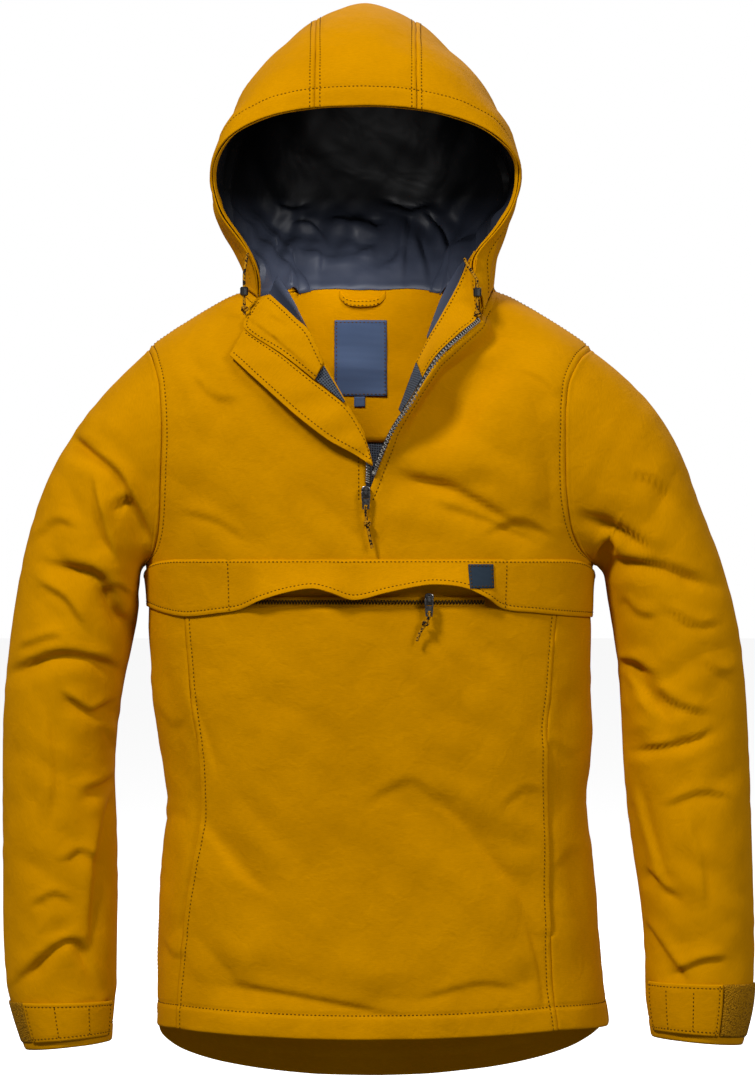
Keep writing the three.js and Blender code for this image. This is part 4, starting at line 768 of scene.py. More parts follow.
def back_half(side):
    """One half of the back. Columns run from the middle (0) by the side of the neck (8) to the armhole
    (12); the lower rows are the tail, from its own hem up to the underarm."""
    column = np.linspace(0, 12, 76)
    column[-8:] = 12 - np.array([7, 5.4, 4, 2.9, 1.9, 1.1, 0.5, 0]) * (12 / 75)
    angles = side * column * math.pi / 24
    up = bunched(TAIL_ROWS, 0.4)[:, None]
    hem = FRONT_HEM - BACK_TAIL * (1 - np.minimum(1, column / 12 / TAIL_END[side]) ** 1.7)
    low_z = hem[None] + (UNDERARM - hem[None]) * up
    low = body_smooth(angles[None] + 0 * up, low_z, 1)
    p = np.interp(column, [3, 4, 5, 6, 7, 8], [10, 8.5, 7, 5.5, 4, 3])
    shoulder_x = side * (NECK[3, 1] + (SHOULDER_POINT - NECK[3, 1]) * np.maximum(column - 8, 0) / 4)
    ridge = np.stack([shoulder_x, shoulder(shoulder_x)], axis=-1)
    middle_part = back_neck(side * 25 * np.minimum(column, 3))[:, [0, 2]]
    neck_part = neck_seam(p, side)[:, [0, 2]]
    rim = np.where((column <= 3)[:, None], middle_part, np.where((column <= 8)[:, None], neck_part, ridge))
    top = np.stack([angle_at(rim[:, 0], rim[:, 1]), rim[:, 1]], axis=-1)
    turn = np.linspace(0, math.pi, 64)
    shares = (1 - np.cos(turn)) / 2
    bottom = np.stack([angles, np.full(len(column), float(UNDERARM))], axis=-1)
    high_z = UNDERARM + (back_neck(np.array(0.0))[2] - UNDERARM) * shares
    inner = np.stack([0 * high_z, high_z], axis=-1)
    outer = flat_place(armhole_line(side, turn, 1))
    places = patch(bottom, top, inner, outer, column / 12, shares)
    high = body_smooth(places[..., 0], places[..., 1], 1)
    high[:, -1] = armhole_line(side, turn, 1)
    return np.concatenate([low[:-1], high])


halves = {side: back_half(side) for side in (-1, 1)}
back = np.concatenate([halves[-1][:, :0:-1], halves[1]], axis=1)
back_smooth = back
fade = np.clip(4 * (1 - roll(back[..., 0], back[..., 2])), 0, 1)
depth = fade * (body_wear(1, back) + ripples(back[..., 0], back[..., 2] + 200))
depth += seams(back, [("left", 1.3), ("right", 2.6), ("high", 4.4)], 7) + hem_relief(back)
back = sunk(back, INSIDE, depth)
for column in (0, -1):
    back[:TAIL_ROWS, column, 1] = np.maximum(back[:TAIL_ROWS, column, 1], SEAM / 2)
cloth_piece("back_panel", [(back, INSIDE)], ["back"])
for edge in ("left", "right"):
    stitch_beside("stitching_back", back, INSIDE, edge, 7)
stitch_beside("stitching_back", back, INSIDE, "high", 7)
stitch_beside("stitching_back", back, INSIDE, "low", HEM)


# Sleeves: each a front and a back half, set into the armhole and sewn along the underarm and the
# outer arm, bent at the elbow and hemmed at the cuff.
SLEEVE = {  # number along the arm; outer x, z; inner x, z; half depth; y of the middle
    -1: np.array([
        (0, -221, -50, -224, -264, 84, 0), (1, -258, -86, -229, -272, 80, 0),
        (2, -290, -125, -231, -288, 76, -1), (3, -318, -172, -232, -312, 72, -2),
        (4, -338, -226, -238, -345, 69, -3), (5, -352, -290, -246, -382, 66, -4),
        (6, -361, -355, -252, -425, 64, -5), (7, -366, -420, -255, -470, 62, -6),
        (8, -366.5, -490, -253, -525, 60, -8), (9, -366, -560, -252, -580, 58, -11),
        (10, -365.5, -630, -252.5, -640, 55, -14), (11, -362, -680, -253, -685, 52, -17),
        (12, -355, -710, -255, -705, 50, -19), (13, -343, -747, -258, -738, 47, -20)], float),
    1: np.array([
        (0, 221, -50, 223, -264, 84, 0), (1, 256, -79, 229, -268, 80, 0), (2, 286, -112, 234, -276, 76, -1),
        (3, 310, -153, 238, -300, 72, -2), (4, 331, -210, 243, -330, 69, -3),
        (5, 350, -260, 248, -366, 66, -4), (6, 366, -320, 251, -410, 64, -5),
        (7, 374, -380, 253, -455, 62, -6), (8, 378, -450, 257, -505, 60, -8),
        (9, 380.5, -530, 263, -552, 58, -11), (10, 382.5, -600, 270, -600, 55, -14),
        (11, 383, -650, 274, -650, 52, -17), (12, 380.5, -700, 275, -695, 50, -19),
        (13, 371, -742, 281, -734, 47, -20)], float),
}
SLEEVE_CREASES = [
    (-1, -290, -141, -215, -184, 14, 8, 5), (-1, -244, -202, -220, -234, 11, 8, 3),
    (-1, -264, -207, -253, -250, 12, -4, 3), (-1, -300, -264, -236, -323, 15, 9, 6),
    (-1, -343, -367, -290, -352, 11, 6, 4), (-1, -281, -405, -255, -411, 9, 4, 2),
    (-1, -262, -366, -245, -374, 8, 4, 1), (-1, -276, -493, -255, -482, 8, 5, 2),
    (-1, -258, -502, -278, -645, 10, 6, 4), (-1, -332, -663, -304, -627, 9, 4, 3),
    (-1, -304, -627, -273, -655, 9, 4, 3), (-1, -300, -712, -266, -704, 7, 3, 2),
    (-1, -330, -300, -300, -330, 10, 3, 3), (-1, -350, -450, -310, -470, 10, 2.6, 3),
    (-1, -340, -560, -300, -590, 11, 2.6, 4), (-1, -310, -170, -280, -240, 11, 3, 4),
    (-1, -270, -560, -250, -600, 8, 3, 2), (-1, -330, -500, -290, -540, 10, 2.4, -3),
    (1, -300, -230, -240, -280, 17, 8, 6), (1, -345, -390, -270, -420, 14, 7, 5),
    (1, -290, -520, -330, -610, 14, 6, 5), (1, -320, -300, -270, -350, 12, 4, 4),
    (1, -350, -460, -290, -480, 11, 3.4, 3), (1, -340, -640, -280, -670, 11, 3.4, 4),
    (-1, 219, -215, 288, -251, 13, 9, 5), (-1, 230, -234, 226, -262, 9, 5, 2),
    (-1, 237, -261, 340, -282, 12, 7, 7), (-1, 258, -370, 280, -380, 9, 5, 2),
    (-1, 303, -371, 346, -350, 11, 5, 4), (-1, 257, -385, 287, -416, 11, 7, 4),
    (-1, 270, -442, 306, -438, 10, 6, 3), (-1, 306, -438, 342, -425, 10, 5, 3),
    (-1, 261, -508, 273, -574, 10, 4, 3), (-1, 283, -576, 302, -594, 9, 5, 2),
    (-1, 278, -684, 310, -701, 9, 4, 3), (-1, 300, -180, 270, -226, 11, 3.4, 3),
    (-1, 320, -300, 350, -330, 10, 3, 3), (-1, 330, -500, 362, -470, 11, 3, 4),
    (-1, 320, -560, 366, -590, 11, 2.8, 4), (-1, 300, -640, 350, -620, 11, 2.8, -4),
    (1, 300, -220, 240, -270, 17, 8, 6), (1, 350, -380, 280, -415, 14, 7, 5),
    (1, 300, -530, 345, -610, 14, 6, 5), (1, 330, -290, 280, -340, 12, 4, 4),
    (1, 360, -470, 300, -480, 11, 3.4, 3), (1, 350, -650, 290, -670, 11, 3.4, 4),
]
SLEEVE_FOLDS = [  # as the body's: face; width, depth; steep side; x, z...
    (-1, 14, 6.5, 1, -291, -140, -272, -155, -249, -174, -233, -200),
    (-1, 10, 4.4, 1, -272, -192, -264, -230, -254, -256),
    (-1, 10, 5.4, 1, -252, -206, -236, -200, -222, -226, -217, -242),
    (-1, 14, 6, 1, -305, -264, -266, -274, -249, -309, -234, -324),
    (-1, 12, 5.2, 1, -344, -364, -310, -352, -270, -357, -247, -368),
    (-1, 9, 4.6, 1, -298, -396, -276, -410, -254, -398),
    (-1, 8, 3.4, 1, -278, -486, -264, -482, -253, -472),
    (-1, 11, 4.4, -1, -256, -497, -269, -547, -274, -594, -277, -644),
    (-1, 11, 4.6, 1, -338, -666, -306, -638, -286, -641, -271, -678),
    (-1, 8, 3.6, 1, -296, -715, -270, -706, -258, -694), (-1, 9, 3, 1, -343, -346, -322, -338, -302, -333),
    (-1, 10, 3, 1, -322, -286, -300, -300, -282, -330),
    (-1, 9, 2.6, -1, -318, -420, -312, -470, -318, -520),
    (-1, 8, 2.6, 1, -300, -556, -286, -548, -268, -560),
    (-1, 8, 2.4, 1, -330, -600, -312, -590, -292, -600), (-1, 8, 3, 1, -262, -292, -250, -286, -238, -296),
    (-1, 9, 2.6, 1, -330, -236, -312, -222, -290, -226),
    (-1, 8, 2.6, 1, -262, -428, -256, -440, -252, -452), (-1, 14, 6, 1, 208, -214, 242, -226, 286, -252),
    (-1, 9, 5, 1, 225, -257, 236, -242, 246, -256), (-1, 13, 5.4, 1, 246, -260, 291, -266, 342, -284),
    (-1, 11, 5.4, -1, 257, -366, 270, -390, 292, -418), (-1, 9, 4.4, 1, 250, -360, 264, -364, 282, -376),
    (-1, 10, 3.8, 1, 284, -390, 306, -404, 338, -412), (-1, 10, 4.6, 1, 268, -447, 306, -441, 343, -427),
    (-1, 9, 3.6, -1, 268, -494, 278, -534, 298, -594), (-1, 9, 3.8, 1, 276, -570, 288, -582, 302, -594),
    (-1, 10, 3.6, 1, 276, -624, 294, -650, 316, -678), (-1, 8, 3.4, 1, 280, -682, 298, -688, 320, -699),
    (-1, 9, 2.8, 1, 306, -666, 330, -656, 354, -654), (-1, 9, 2.8, 1, 296, -310, 322, -324, 350, -322),
    (-1, 9, 2.6, 1, 300, -500, 328, -490, 360, -496), (-1, 9, 2.4, -1, 320, -520, 330, -560, 334, -610),
    (-1, 8, 2.8, 1, 252, -300, 264, -312, 286, -318), (-1, 9, 2.8, 1, 262, -176, 284, -184, 304, -204),
    (-1, 8, 2.4, 1, 330, -360, 348, -372, 366, -370), (1, 13, 6, 1, -296, -236, -266, -250, -240, -282),
    (1, 12, 5.2, 1, -344, -386, -306, -396, -266, -420),
    (1, 11, 4.6, -1, -290, -520, -312, -560, -330, -612),
    (1, 10, 3.8, 1, -322, -300, -296, -318, -270, -350),
    (1, 10, 3.6, 1, -344, -646, -310, -650, -282, -672), (1, 9, 3.2, 1, -352, -462, -320, -470, -290, -466),
    (1, 13, 6, 1, 240, -270, 272, -240, 300, -224), (1, 12, 5.2, 1, 280, -416, 316, -392, 352, -380),
    (1, 11, 4.6, -1, 300, -530, 322, -566, 345, -612), (1, 10, 3.8, 1, 280, -342, 304, -310, 332, -292),
    (1, 10, 3.6, 1, 290, -672, 320, -652, 352, -650), (1, 9, 3.2, 1, 300, -480, 330, -470, 362, -472),
]
CUFF, CUFF_HEM = 13, 18


def sleeve_smooth(side, k, turn):
    """Sleeve: an oval between the outer and inner outline, which starts on the armhole and turns into
    the oval over the first three stations."""
    table = SLEEVE[side]

    def oval(k):
        columns = (along(k, table[:, 0], table[:, c]) for c in range(1, 7))
        outer_x, outer_z, inner_x, inner_z, deep, y = columns
        up = (1 - np.cos(turn)) / 2
        return np.stack([inner_x + (outer_x - inner_x) * up, y - deep * np.sin(turn) + 0 * up,
                         inner_z + (outer_z - inner_z) * up], axis=-1)

    share = np.maximum(0, 1 - k / 3) ** 2
    face = 1 if np.median(np.sin(turn)) < 0 else -1
    return oval(k) + share[..., None] * (armhole_line(side, turn, face) - oval(0 * k))


def arm_axis(side, k):
    """The sleeve's middle line at stations along the arm."""
    table = SLEEVE[side]
    middle = ((table[:, 1] + table[:, 3]) / 2, table[:, 6], (table[:, 2] + table[:, 4]) / 2)
    return np.stack([along(k, table[:, 0], values) for values in middle], axis=-1)


for side, name in ((-1, "left"), (1, "right")):
    for face, part in ((-1, "front"), (1, "back")):
        k = (CUFF * bunched(270, 0.2))[:, None]
        turn = bunched(64, 0.3)[None, :] * math.pi
        turn = turn if face < 0 else 2 * math.pi - turn
        sleeve = sleeve_smooth(side, k + 0 * turn, turn + 0 * k)
        axis = arm_axis(side, k)
        fade = np.clip(2.4 * np.abs(np.sin(turn)), 0, 1) * np.clip(k / 1.2, 0, 1)
        depth = 0.6 * fade * crease_depth(SLEEVE_CREASES, face, sleeve[..., 0], sleeve[..., 2])
        depth += 1.5 * fade * fold_depth(SLEEVE_FOLDS, face, sleeve[..., 0], sleeve[..., 2])
        depth += np.clip(3 * np.abs(np.sin(turn)), 0, 1) * ripples(sleeve[..., 0] * 1.4, sleeve[..., 2] * 1.3)
        depth += seams(sleeve, [("low", side + 8), ("left", side + 2), ("right", side + 5)], 5)
        gap, _ = edge_distance(sleeve, "high")
        depth += -0.6 / (1 + np.exp((gap - CUFF_HEM + 2) / 1.2)) + 0.7 * bell(gap, CUFF_HEM, 1.5)
        depth += 0.7 * bell(gap, 0, 1.2)
        sleeve = sunk(sleeve, axis, depth)
        cloth_piece(f"sleeve_{name}_{part}_half", [(sleeve, axis)], [f"sleeve_{name}_{part}"])
        stitch_beside(f"stitching_sleeve_{name}", sleeve, axis, "high", CUFF_HEM)


# Hood: a centre panel from the brim over the crown to the neck, between two side panels, of shell
# cloth; a facing of the same cloth round its edge, and a loose lining of slate satin.
HOOD = np.array([  # row from the brim (0) to the neck (10); crown y, z; widest x, y; then for the left
    # and the right the widest place's z; and for the left and the right the squareness
    (0, -118, 186, 153, -70, 115, 122, 2.5, 2.1), (1, -111, 212, 154, -56, 113, 122, 2.3, 2),
    (2, -88, 248, 154, -38, 109, 122, 2.05, 1.85), (3, -45, 281, 155, -15, 103, 120, 1.85, 1.67),
    (4, 8, 297, 155, 8, 100, 117, 1.75, 1.62), (5, 58, 292, 151, 32, 97, 109, 1.8, 1.7),
    (6, 103, 262, 145, 56, 95, 99, 1.9, 1.85), (7, 135, 212, 134, 76, 88, 89, 2, 2),
    (8, 150, 150, 120, 90, 76, 76, 2.1, 2.1), (9, 143, 86, 101, 96, 52, 52, 2.2, 2.2),
    (10, 89, 18, 66, 77.5, 17.5, 17.5, 2.4, 2.4)], float)
CHEEK_CURVE = {-1: 2.3, 1: 3}
HOOD_SHIFT, HOOD_CENTRE_HALF = -4, 50
RIM_TUCK, TUCK_Z, TUCK_WIDTH, NECK_GAP = {-1: 3, 1: 16}, 36, 26, 0.5
BRIM_HEM = 20
INSIDE_HOOD = (0, 10, 120)


def hood_surface(p, q, side):
    """Hood: across each arch, q runs from the crown (0) to the widest point (1) as a superellipse,
    and on to the neck seam (2) with a cosine."""
    p, q = np.broadcast_arrays(np.asarray(p, float), np.asarray(q, float))
    crown_y, crown_z, wide_x, wide_y = (along(p, HOOD[:, 0], HOOD[:, c]) for c in range(1, 5))
    wide_z, square = (along(p, HOOD[:, 0], HOOD[:, c + (side > 0)]) for c in (5, 7))
    shift = HOOD_SHIFT * np.minimum(1, (10 - p) / 2)
    turn = np.clip(q, 0, 1) * math.pi / 2
    up = np.maximum(0, np.cos(turn)) ** (2 / square)
    x = side * wide_x * np.sin(turn) ** (2 / square) + shift
    crown = np.stack([x, wide_y + (crown_y - wide_y) * up, wide_z + (crown_z - wide_z) * up], axis=-1)
    nape = back_neck(x)
    crown = np.where((p >= 10)[..., None], nape, crown)
    neck = neck_seam(p, side) + (0, 0, NECK_GAP)
    r = np.clip(q - 1, 0, 1)
    swing = np.maximum(0, np.cos(r * math.pi / 2)) ** CHEEK_CURVE[side]
    wide = side * wide_x + shift
    z = wide_z + (neck[..., 2] - wide_z) * r
    tuck = RIM_TUCK[side] * np.maximum(0, 1 - p) * bell(z, TUCK_Z, TUCK_WIDTH)
    x = neck[..., 0] + (wide - neck[..., 0]) * swing - side * tuck
    cheek = np.stack([x, wide_y + (neck[..., 1] - wide_y) * r, z], axis=-1)
    cheek = np.where((p >= 10)[..., None], nape + (neck - nape) * r[..., None], cheek)
    return np.where((q <= 1)[..., None], crown, cheek)


def seam_turn(p, side):
    wide, square = along(p, HOOD[:, 0], HOOD[:, 3]), along(p, HOOD[:, 0], HOOD[:, 7 + (side > 0)])
    return (2 / math.pi) * np.arcsin((HOOD_CENTRE_HALF / wide) ** (square / 2))


HOOD_CREASES = [  # seen from the side: face is the side; y, z to y, z; width, depth, bow
    (1, -60, 200, 20, 150, 16, 4, 8), (1, 60, 230, 110, 170, 16, 4, -6), (1, -30, 110, 40, 60, 14, 4, 8),
    (1, -44, 84, -20, 24, 10, 3, 4), (1, 40, 60, 90, 40, 12, 3, 5), (1, 90, 130, 130, 90, 13, 3, 5),
    (1, -20, 250, 50, 235, 14, 2.4, 6), (1, -50, 150, -10, 120, 12, 2.4, 4),
    (-1, -60, 190, 10, 160, 16, 4, 7), (-1, 50, 240, 110, 190, 16, 4, -6), (-1, -30, 100, 44, 70, 14, 4, 8),
    (-1, -50, 90, -16, 34, 10, 3, 4), (-1, 50, 66, 96, 46, 12, 3, 5), (-1, 94, 140, 128, 84, 13, 3, 5),
    (-1, -10, 256, 60, 240, 14, 2.4, 6), (-1, -56, 150, -14, 112, 12, 2.4, 4),
]
HOOD_ROWS = 10 * bunched(112, 0.35)


def hood_depth(points, side):
    depth = crease_depth(HOOD_CREASES, side, points[..., 1], points[..., 2])
    return depth + ripples(points[..., 1] + 30 * side, points[..., 2])


def brim_relief(points):
    """The brim is doubled back and stitched down 20 mm from its edge."""
    gap, run = edge_distance(points, "low")
    waves = np.sin(run / 9 + 1) + 0.7 * np.sin(run / 5.2 + 2)
    return (0.6 * bell(gap, 0, 1.2) - 0.4 / (1 + np.exp((gap - BRIM_HEM + 2) / 1.2))
            + 0.8 * bell(gap, BRIM_HEM, 1.5) + 0.4 * waves * bell(gap, BRIM_HEM, 9))


def hung_inside(points, depth):
    """Moves a sheet of the hood inwards by a depth for each place; the last row, which can be very
    short, goes the way of the row beside it."""
    out, _ = outward(points, INSIDE_HOOD)
    out[-1] = out[-2]
    return points - depth[..., None] * out


def tucked(line, inward, down):
    """Seam allowance: a line of places moved towards the middle of the neck, and down."""
    return line + inward * unit(-line * (1, 1, 0)) - (0, 0, down)


p = HOOD_ROWS[:, None]
q = bunched(26, 0.5)[None, :]
crown_right = hood_surface(p + 0 * q, seam_turn(p, 1) * q, 1)
crown_left = hood_surface(p + 0 * q, seam_turn(p, -1) * q, -1)
crown = np.concatenate([crown_left[:, :0:-1], crown_right], axis=1)
depth = ripples(crown[..., 0], crown[..., 1] + crown[..., 2]) + brim_relief(crown)
crown = hung_inside(crown, depth + seams(crown, [("left", 2), ("right", 5), ("high", 7)], 5))
crown[-1] = tucked(crown[-1], 1.6, 3)
cloth_piece("hood_centre_panel", [(crown, INSIDE_HOOD)], ["hood_centre"])
for edge in ("left", "right"):
    stitch_beside("stitching_hood", crown, INSIDE_HOOD, edge, 5)
stitch_beside("stitching_hood", crown, INSIDE_HOOD, "low", BRIM_HEM)
for side, name in ((-1, "left"), (1, "right")):
    start = seam_turn(p, side)
    q = start + (2 - start) * bunched(72, 0.5)[None, :]
    cheek = hood_surface(p + 0 * q, q, side)
    depth = hood_depth(cheek, side) + brim_relief(cheek)
    cheek = hung_inside(cheek, depth + seams(cheek, [("left", 2 + side), ("right", 5 + side)], 5))
    cheek[:, -1] = tucked(cheek[:, -1], 1.6, 3)
    cheek[-1, :-1] = tucked(cheek[-1, :-1], 1.6, 3)
    cloth_piece(f"hood_side_panel_{name}", [(cheek, INSIDE_HOOD)], [f"hood_{name}"])
    stitch_beside("stitching_hood", cheek, INSIDE_HOOD, "left", 5)
    stitch_beside("stitching_hood", cheek, INSIDE_HOOD, "right", 5)
    stitch_beside("stitching_hood", cheek, INSIDE_HOOD, "low", BRIM_HEM, 0.0, 0.96)

# Slate satin: a smooth filament weave, so it shines softly along its folds. The real threads are
# far too fine to draw. High up inside the hood its colour is painted near black, as painted shade of the
# crown.
satin, tree, shader = new_finish("slate_satin", 0.48, Specular_IOR_Level=0.22)
place = node(tree, "ShaderNodeTexCoord").outputs["Object"]
height = node(tree, "ShaderNodeSeparateXYZ", None, {"Vector": place}).outputs["Z"]
# Painted shade: the satin's colour goes from slate at 40 mm up to near black at 110 mm, standing in for the
# shade inside the crown.
share = node(tree, "ShaderNodeMapRange", {"From Min": 0.11, "From Max": 0.04, "To Min": 0.0, "To Max": 1.0},
             {"Value": height})
shade = node(tree, "ShaderNodeValToRGB", None, {"Fac": share.outputs["Result"]})
shade.color_ramp.elements[0].color = linear("#090a0c")
shade.color_ramp.elements[1].color = linear("#333846")
tree.links.new(shade.outputs["Color"], shader.inputs["Base Color"])
crumple = node(tree, "ShaderNodeTexNoise", {"Scale": 26, "Detail": 2, "Distortion": 0.5}, {"Vector": place})
bump = node(tree, "ShaderNodeBump", {"Strength": 0.35, "Distance": 0.006}, {"Height": crumple.outputs["Fac"]})
tree.links.new(bump.outputs["Normal"], shader.inputs["Normal"])

LAID = 0.6
FACING = 1.0
IN_FRONT = (0, -4000, 100)
lining_q = np.concatenate([np.linspace(0, 0.4, 16)[:-1], np.linspace(0.4, 2, 80)])


def hood_sheet(p):
    """The hood's whole inside from one neck seam to the other."""
    p = p[:, None]
    right = hood_surface(p + 0 * lining_q, lining_q + 0 * p, 1)
    left = hood_surface(p + 0 * lining_q, lining_q + 0 * p, -1)
    return np.concatenate([left[:, :0:-1], right], axis=1)


def shell_depth(points):
    """The most that the shell's own creases reach inwards beside a place of the lining."""
    sides = np.where(points[..., :1] < 0, -1, 1)[..., 0]
    left, right = hood_depth(points, -1), hood_depth(points, 1)
    crown = ripples(points[..., 0], points[..., 1] + points[..., 2])
    return np.maximum(0, np.maximum(np.where(sides < 0, left, right), crown)) + 1.6


rim_rows = np.linspace(0, 1, 18)
facing = hood_sheet(rim_rows)
gap, run = edge_distance(facing, "low")
relief = CLOTH + LAID + FACING + 0.4 * np.sin(run / 8) * np.exp(-gap / 20)
relief += shell_depth(facing) * (1 - bell(gap, 0, 2.4)) - 0.9 * bell(gap, 0, 1.5)
facing = hung_inside(facing, relief)
cloth_piece("hood_edge_facing", [(facing[:, ::-1], (0, -400, 100))], ["hood_rim_facing"], FACING)
stitch_beside("stitching_hood", facing, IN_FRONT, "low", 5)

LINING_FOLDS = [  # as the body's, over the back of the hood
    (0, 6, 5, 1, -68, 42, -24, 39, 6, 50), (0, 5.5, 4, 1, -52, 38, -55, 26, -57, 12),
    (0, 6, 5, 1, -14, 31, 12, 34, 37, 46), (0, 5.5, 4.5, 1, 38, 76, 35, 48, 34, 12),
    (0, 5.5, 4, 1, 49, 54, 56, 36, 66, 12), (0, 6, 4.5, 1, -80, 74, -60, 70, -47, 57),
    (0, 5.5, 4, 1, -88, 46, -82, 32, -74, 14), (0, 7, 5, 1, -34, 76, -10, 70, 15, 74),
    (0, 5.5, 4, -1, -24, 64, -8, 58, 8, 62), (0, 5.5, 4, 1, 60, 84, 74, 66, 84, 40),
    (0, 6, 4, 1, -100, 96, -84, 92, -66, 98), (0, 6, 4, 1, 20, 98, 44, 90, 70, 98),
    (0, 5.5, 3.6, 1, -30, 26, -18, 18, -4, 16), (0, 5.5, 3.6, 1, 4, 22, 18, 14, 30, 18),
]
lining_rows = np.concatenate([[1.0], 1 + 9 * bunched(120, 0.2)[1:]])
lining = hood_sheet(lining_rows)
gap, _ = edge_distance(lining, "low")
low_part = np.clip((110 - lining[..., 2]) / 60, 0, 1)
side_run = np.where(lining[..., 0] < 0, -1, 1) * lining[..., 1]
slack = (2.6 * np.sin(lining[..., 0] / 8.5 + lining[..., 2] / 15 + 0.8 * np.sin(lining[..., 2] / 13))
         + 2.2 * np.sin(side_run / 7.5 - lining[..., 2] / 11 + 1.3)
         + 1.6 * np.sin(lining[..., 0] / 4.7 - lining[..., 2] / 8))
loose = np.clip(gap / 20, 0, 1) * np.clip((10 - lining_rows) / 0.6, 0, 1)[:, None]
depth = CLOTH + LAID + FACING + shell_depth(lining) * np.clip(gap / 4, 0, 1)
uneven = ripples(lining[..., 0], lining[..., 2] * 1.4)
depth += loose * np.maximum(0, 4 + uneven + (0.12 + 0.9 * low_part) * slack)
folds = fold_depth(LINING_FOLDS, 0, lining[..., 0], lining[..., 2])
depth += loose * (lining[..., 1] > 20) * (6 + 2.4 * folds)
lining = hung_inside(lining, depth)
last_rows = np.clip((lining_rows - 9.3) / 0.7, 0, 1) ** 3
lining += last_rows[:, None, None] * (tucked(lining[-1], 3, 8) - lining[-1])
lining[:-1, 0] = tucked(lining[:-1, 0], 2, 5)
lining[:-1, -1] = tucked(lining[:-1, -1], 2, 5)
cloth_piece("hood_satin_lining", [(lining, IN_FRONT)], ["hood_lining"], FACING, satin)


# Pocket band: a strip laid over the chest seam and stitched down along its top and at both ends;
# between two bar tacks its middle hangs free as the flap of the chest pocket.
BAND_TOP, BAND_DROP, BAND_AIR, TACKS = -259, 17, 1.4, (-139, 134)
BAND_EDGE = np.array([  # x; height of the lower edge; how far it stands off
    (-224, -306, 0), (-206, -312, 0), (-183, -315.5, 0), (-150, -312, 0), (-129, -308.7, 0), (-106, -299, 8),
    (-78, -290.5, 13), (-55, -287, 14), (-38, -291, 13), (-16, -298.6, 9), (15, -291.5, 12), (44, -285, 14),
    (63, -283, 15), (89.5, -286, 14), (114, -297, 9), (132, -307.7, 0), (165, -311.7, 0), (194, -314.6, 0),
    (224, -317, 0)], float)


def band_edge(x):
    return along(x, BAND_EDGE[:, 0], BAND_EDGE[:, 1])


def band_lift(x, z):
    """How far the band's cloth stands off the body: its edge's lift times the share of the way down
    from the top, to the power 1.5."""
    hang = np.clip((BAND_TOP - z) / (BAND_TOP - band_edge(x)), 0, 1)
    return np.maximum(0, along(x, BAND_EDGE[:, 0], BAND_EDGE[:, 2])) * hang ** 1.5


def on_band(x, z):
    points = body_at(x, z, -1)
    d = 0.5
    slope_x = (body_at(x + d, z, -1) - body_at(x - d, z, -1)) / (2 * d)
    slope_z = (body_at(x, z + d, -1) - body_at(x, z - d, -1)) / (2 * d)
    return points, unit(np.cross(slope_x, slope_z))


column = np.concatenate([-bunched(90, 0.3)[:0:-1], bunched(90, 0.3)])[None, :] * 12
up = bunched(36, 0.55)[:, None]
side = np.where(column < 0, -1, 1)
flank = np.maximum(0, np.abs(column) - 8) / 4
shares = np.sign(column) * np.minimum(np.abs(column) / 8, 1)


def band_angle(z):
    front = angle_at(front_x(shares, z), z)
    turned = np.where(column < 0, side_angle(-1, flank, z), side_angle(1, flank, z))
    return np.where(flank > 0, turned, front)


top_z = np.full(column.shape, float(BAND_TOP))
top_x = body_smooth(band_angle(top_z), top_z, -1)[..., 0]
band_z = band_edge(top_x) + (BAND_TOP - BAND_DROP * flank ** 2 - band_edge(top_x)) * up
band = body_smooth(band_angle(band_z), band_z, -1)
depth = ripples(band[..., 0], band_z) - BAND_AIR - CLOTH - band_lift(band[..., 0], band_z)
gap, run = edge_distance(band, "high")
depth += 0.6 * seam_relief(gap, run, 3.7, 4) + 1.5 * bell(gap, 0, 2.2)
gap, run = edge_distance(band, "low")
free = np.clip(band_lift(band[..., 0], band_z[:1]) / 6, 0, 1)
depth += 0.5 * bell(gap, 0, 1.1) + 0.35 * bell(gap, 5, 1.2)
depth += free * np.exp(-gap / 14) * (1.2 * np.sin(run / 11 + 0.6) + 0.8 * np.sin(run / 6.3 + 2))
for tack in TACKS:
    depth += 0.7 * bell(band[..., 0], tack, 1.5)
for edge in ("left", "right"):
    gap, _ = edge_distance(band, edge)
    depth += 0.8 * bell(gap, 0, 1.4)
band = sunk(band, INSIDE, depth)
cloth_piece("pocket_band_panel", [(band, INSIDE)], ["pocket_band"])
stitch_beside("stitching_band", band, INSIDE, "high", 3)
stitch_beside("stitching_band", band, INSIDE, "low", 5)
band_out, _ = outward(band, INSIDE)
middle_row = band[len(band) // 2, :, 0]
for tack in TACKS:
    at = float(np.interp(tack, middle_row, np.arange(len(middle_row))))
    rows = np.linspace(1, len(band) - 4, 30)
    stitch_along("stitching_band", pick(band, rows, at + 0 * rows), pick(band_out, rows, at + 0 * rows))


# Neck opening: the left front is turned out as a lapel, with its facing, an edge of mesh lining and
# the storm flap; on the right the facing falls back from the standing zip edge.
def chest_point(x, z, lift):
    x, z = np.asarray(x, float), np.asarray(z, float)
    points = body_at(x, z, -1)
    points[..., 1] -= np.where(x > CENTRE, zip_lift(x, z), 0) + lift
    return points


def on_chest(line, lift):
    line = np.asarray(line, float)
    return chest_point(line[:, 0], line[:, 1], np.broadcast_to(np.asarray(lift, float), len(line)))


def ribbon(one, two, rows, columns, bulge=0.0, wave=0.0):
    """Cloth between two edges: straight across from one smooth line to the other, raised to the
    front by half a sine wave, and rippled along its length."""
    one, two = smooth_line(one, rows), smooth_line(two, rows)
    s = bunched(columns, 0.5)[None, :, None]
    points = one[:, None] * (1 - s) + two[:, None] * s
    run = np.linspace(0, 1, rows)[:, None] * np.linalg.norm(one[-1] - one[0])
    s = s[..., 0]
    rippled = np.sin(run / 6.1 + 3 * s) + 0.7 * np.sin(run / 10.7 + 1.5)
    points[..., 1] -= bulge * np.sin(math.pi * s)
    points[..., 1] -= wave * rippled * s * (1 - s) * 4
    return points


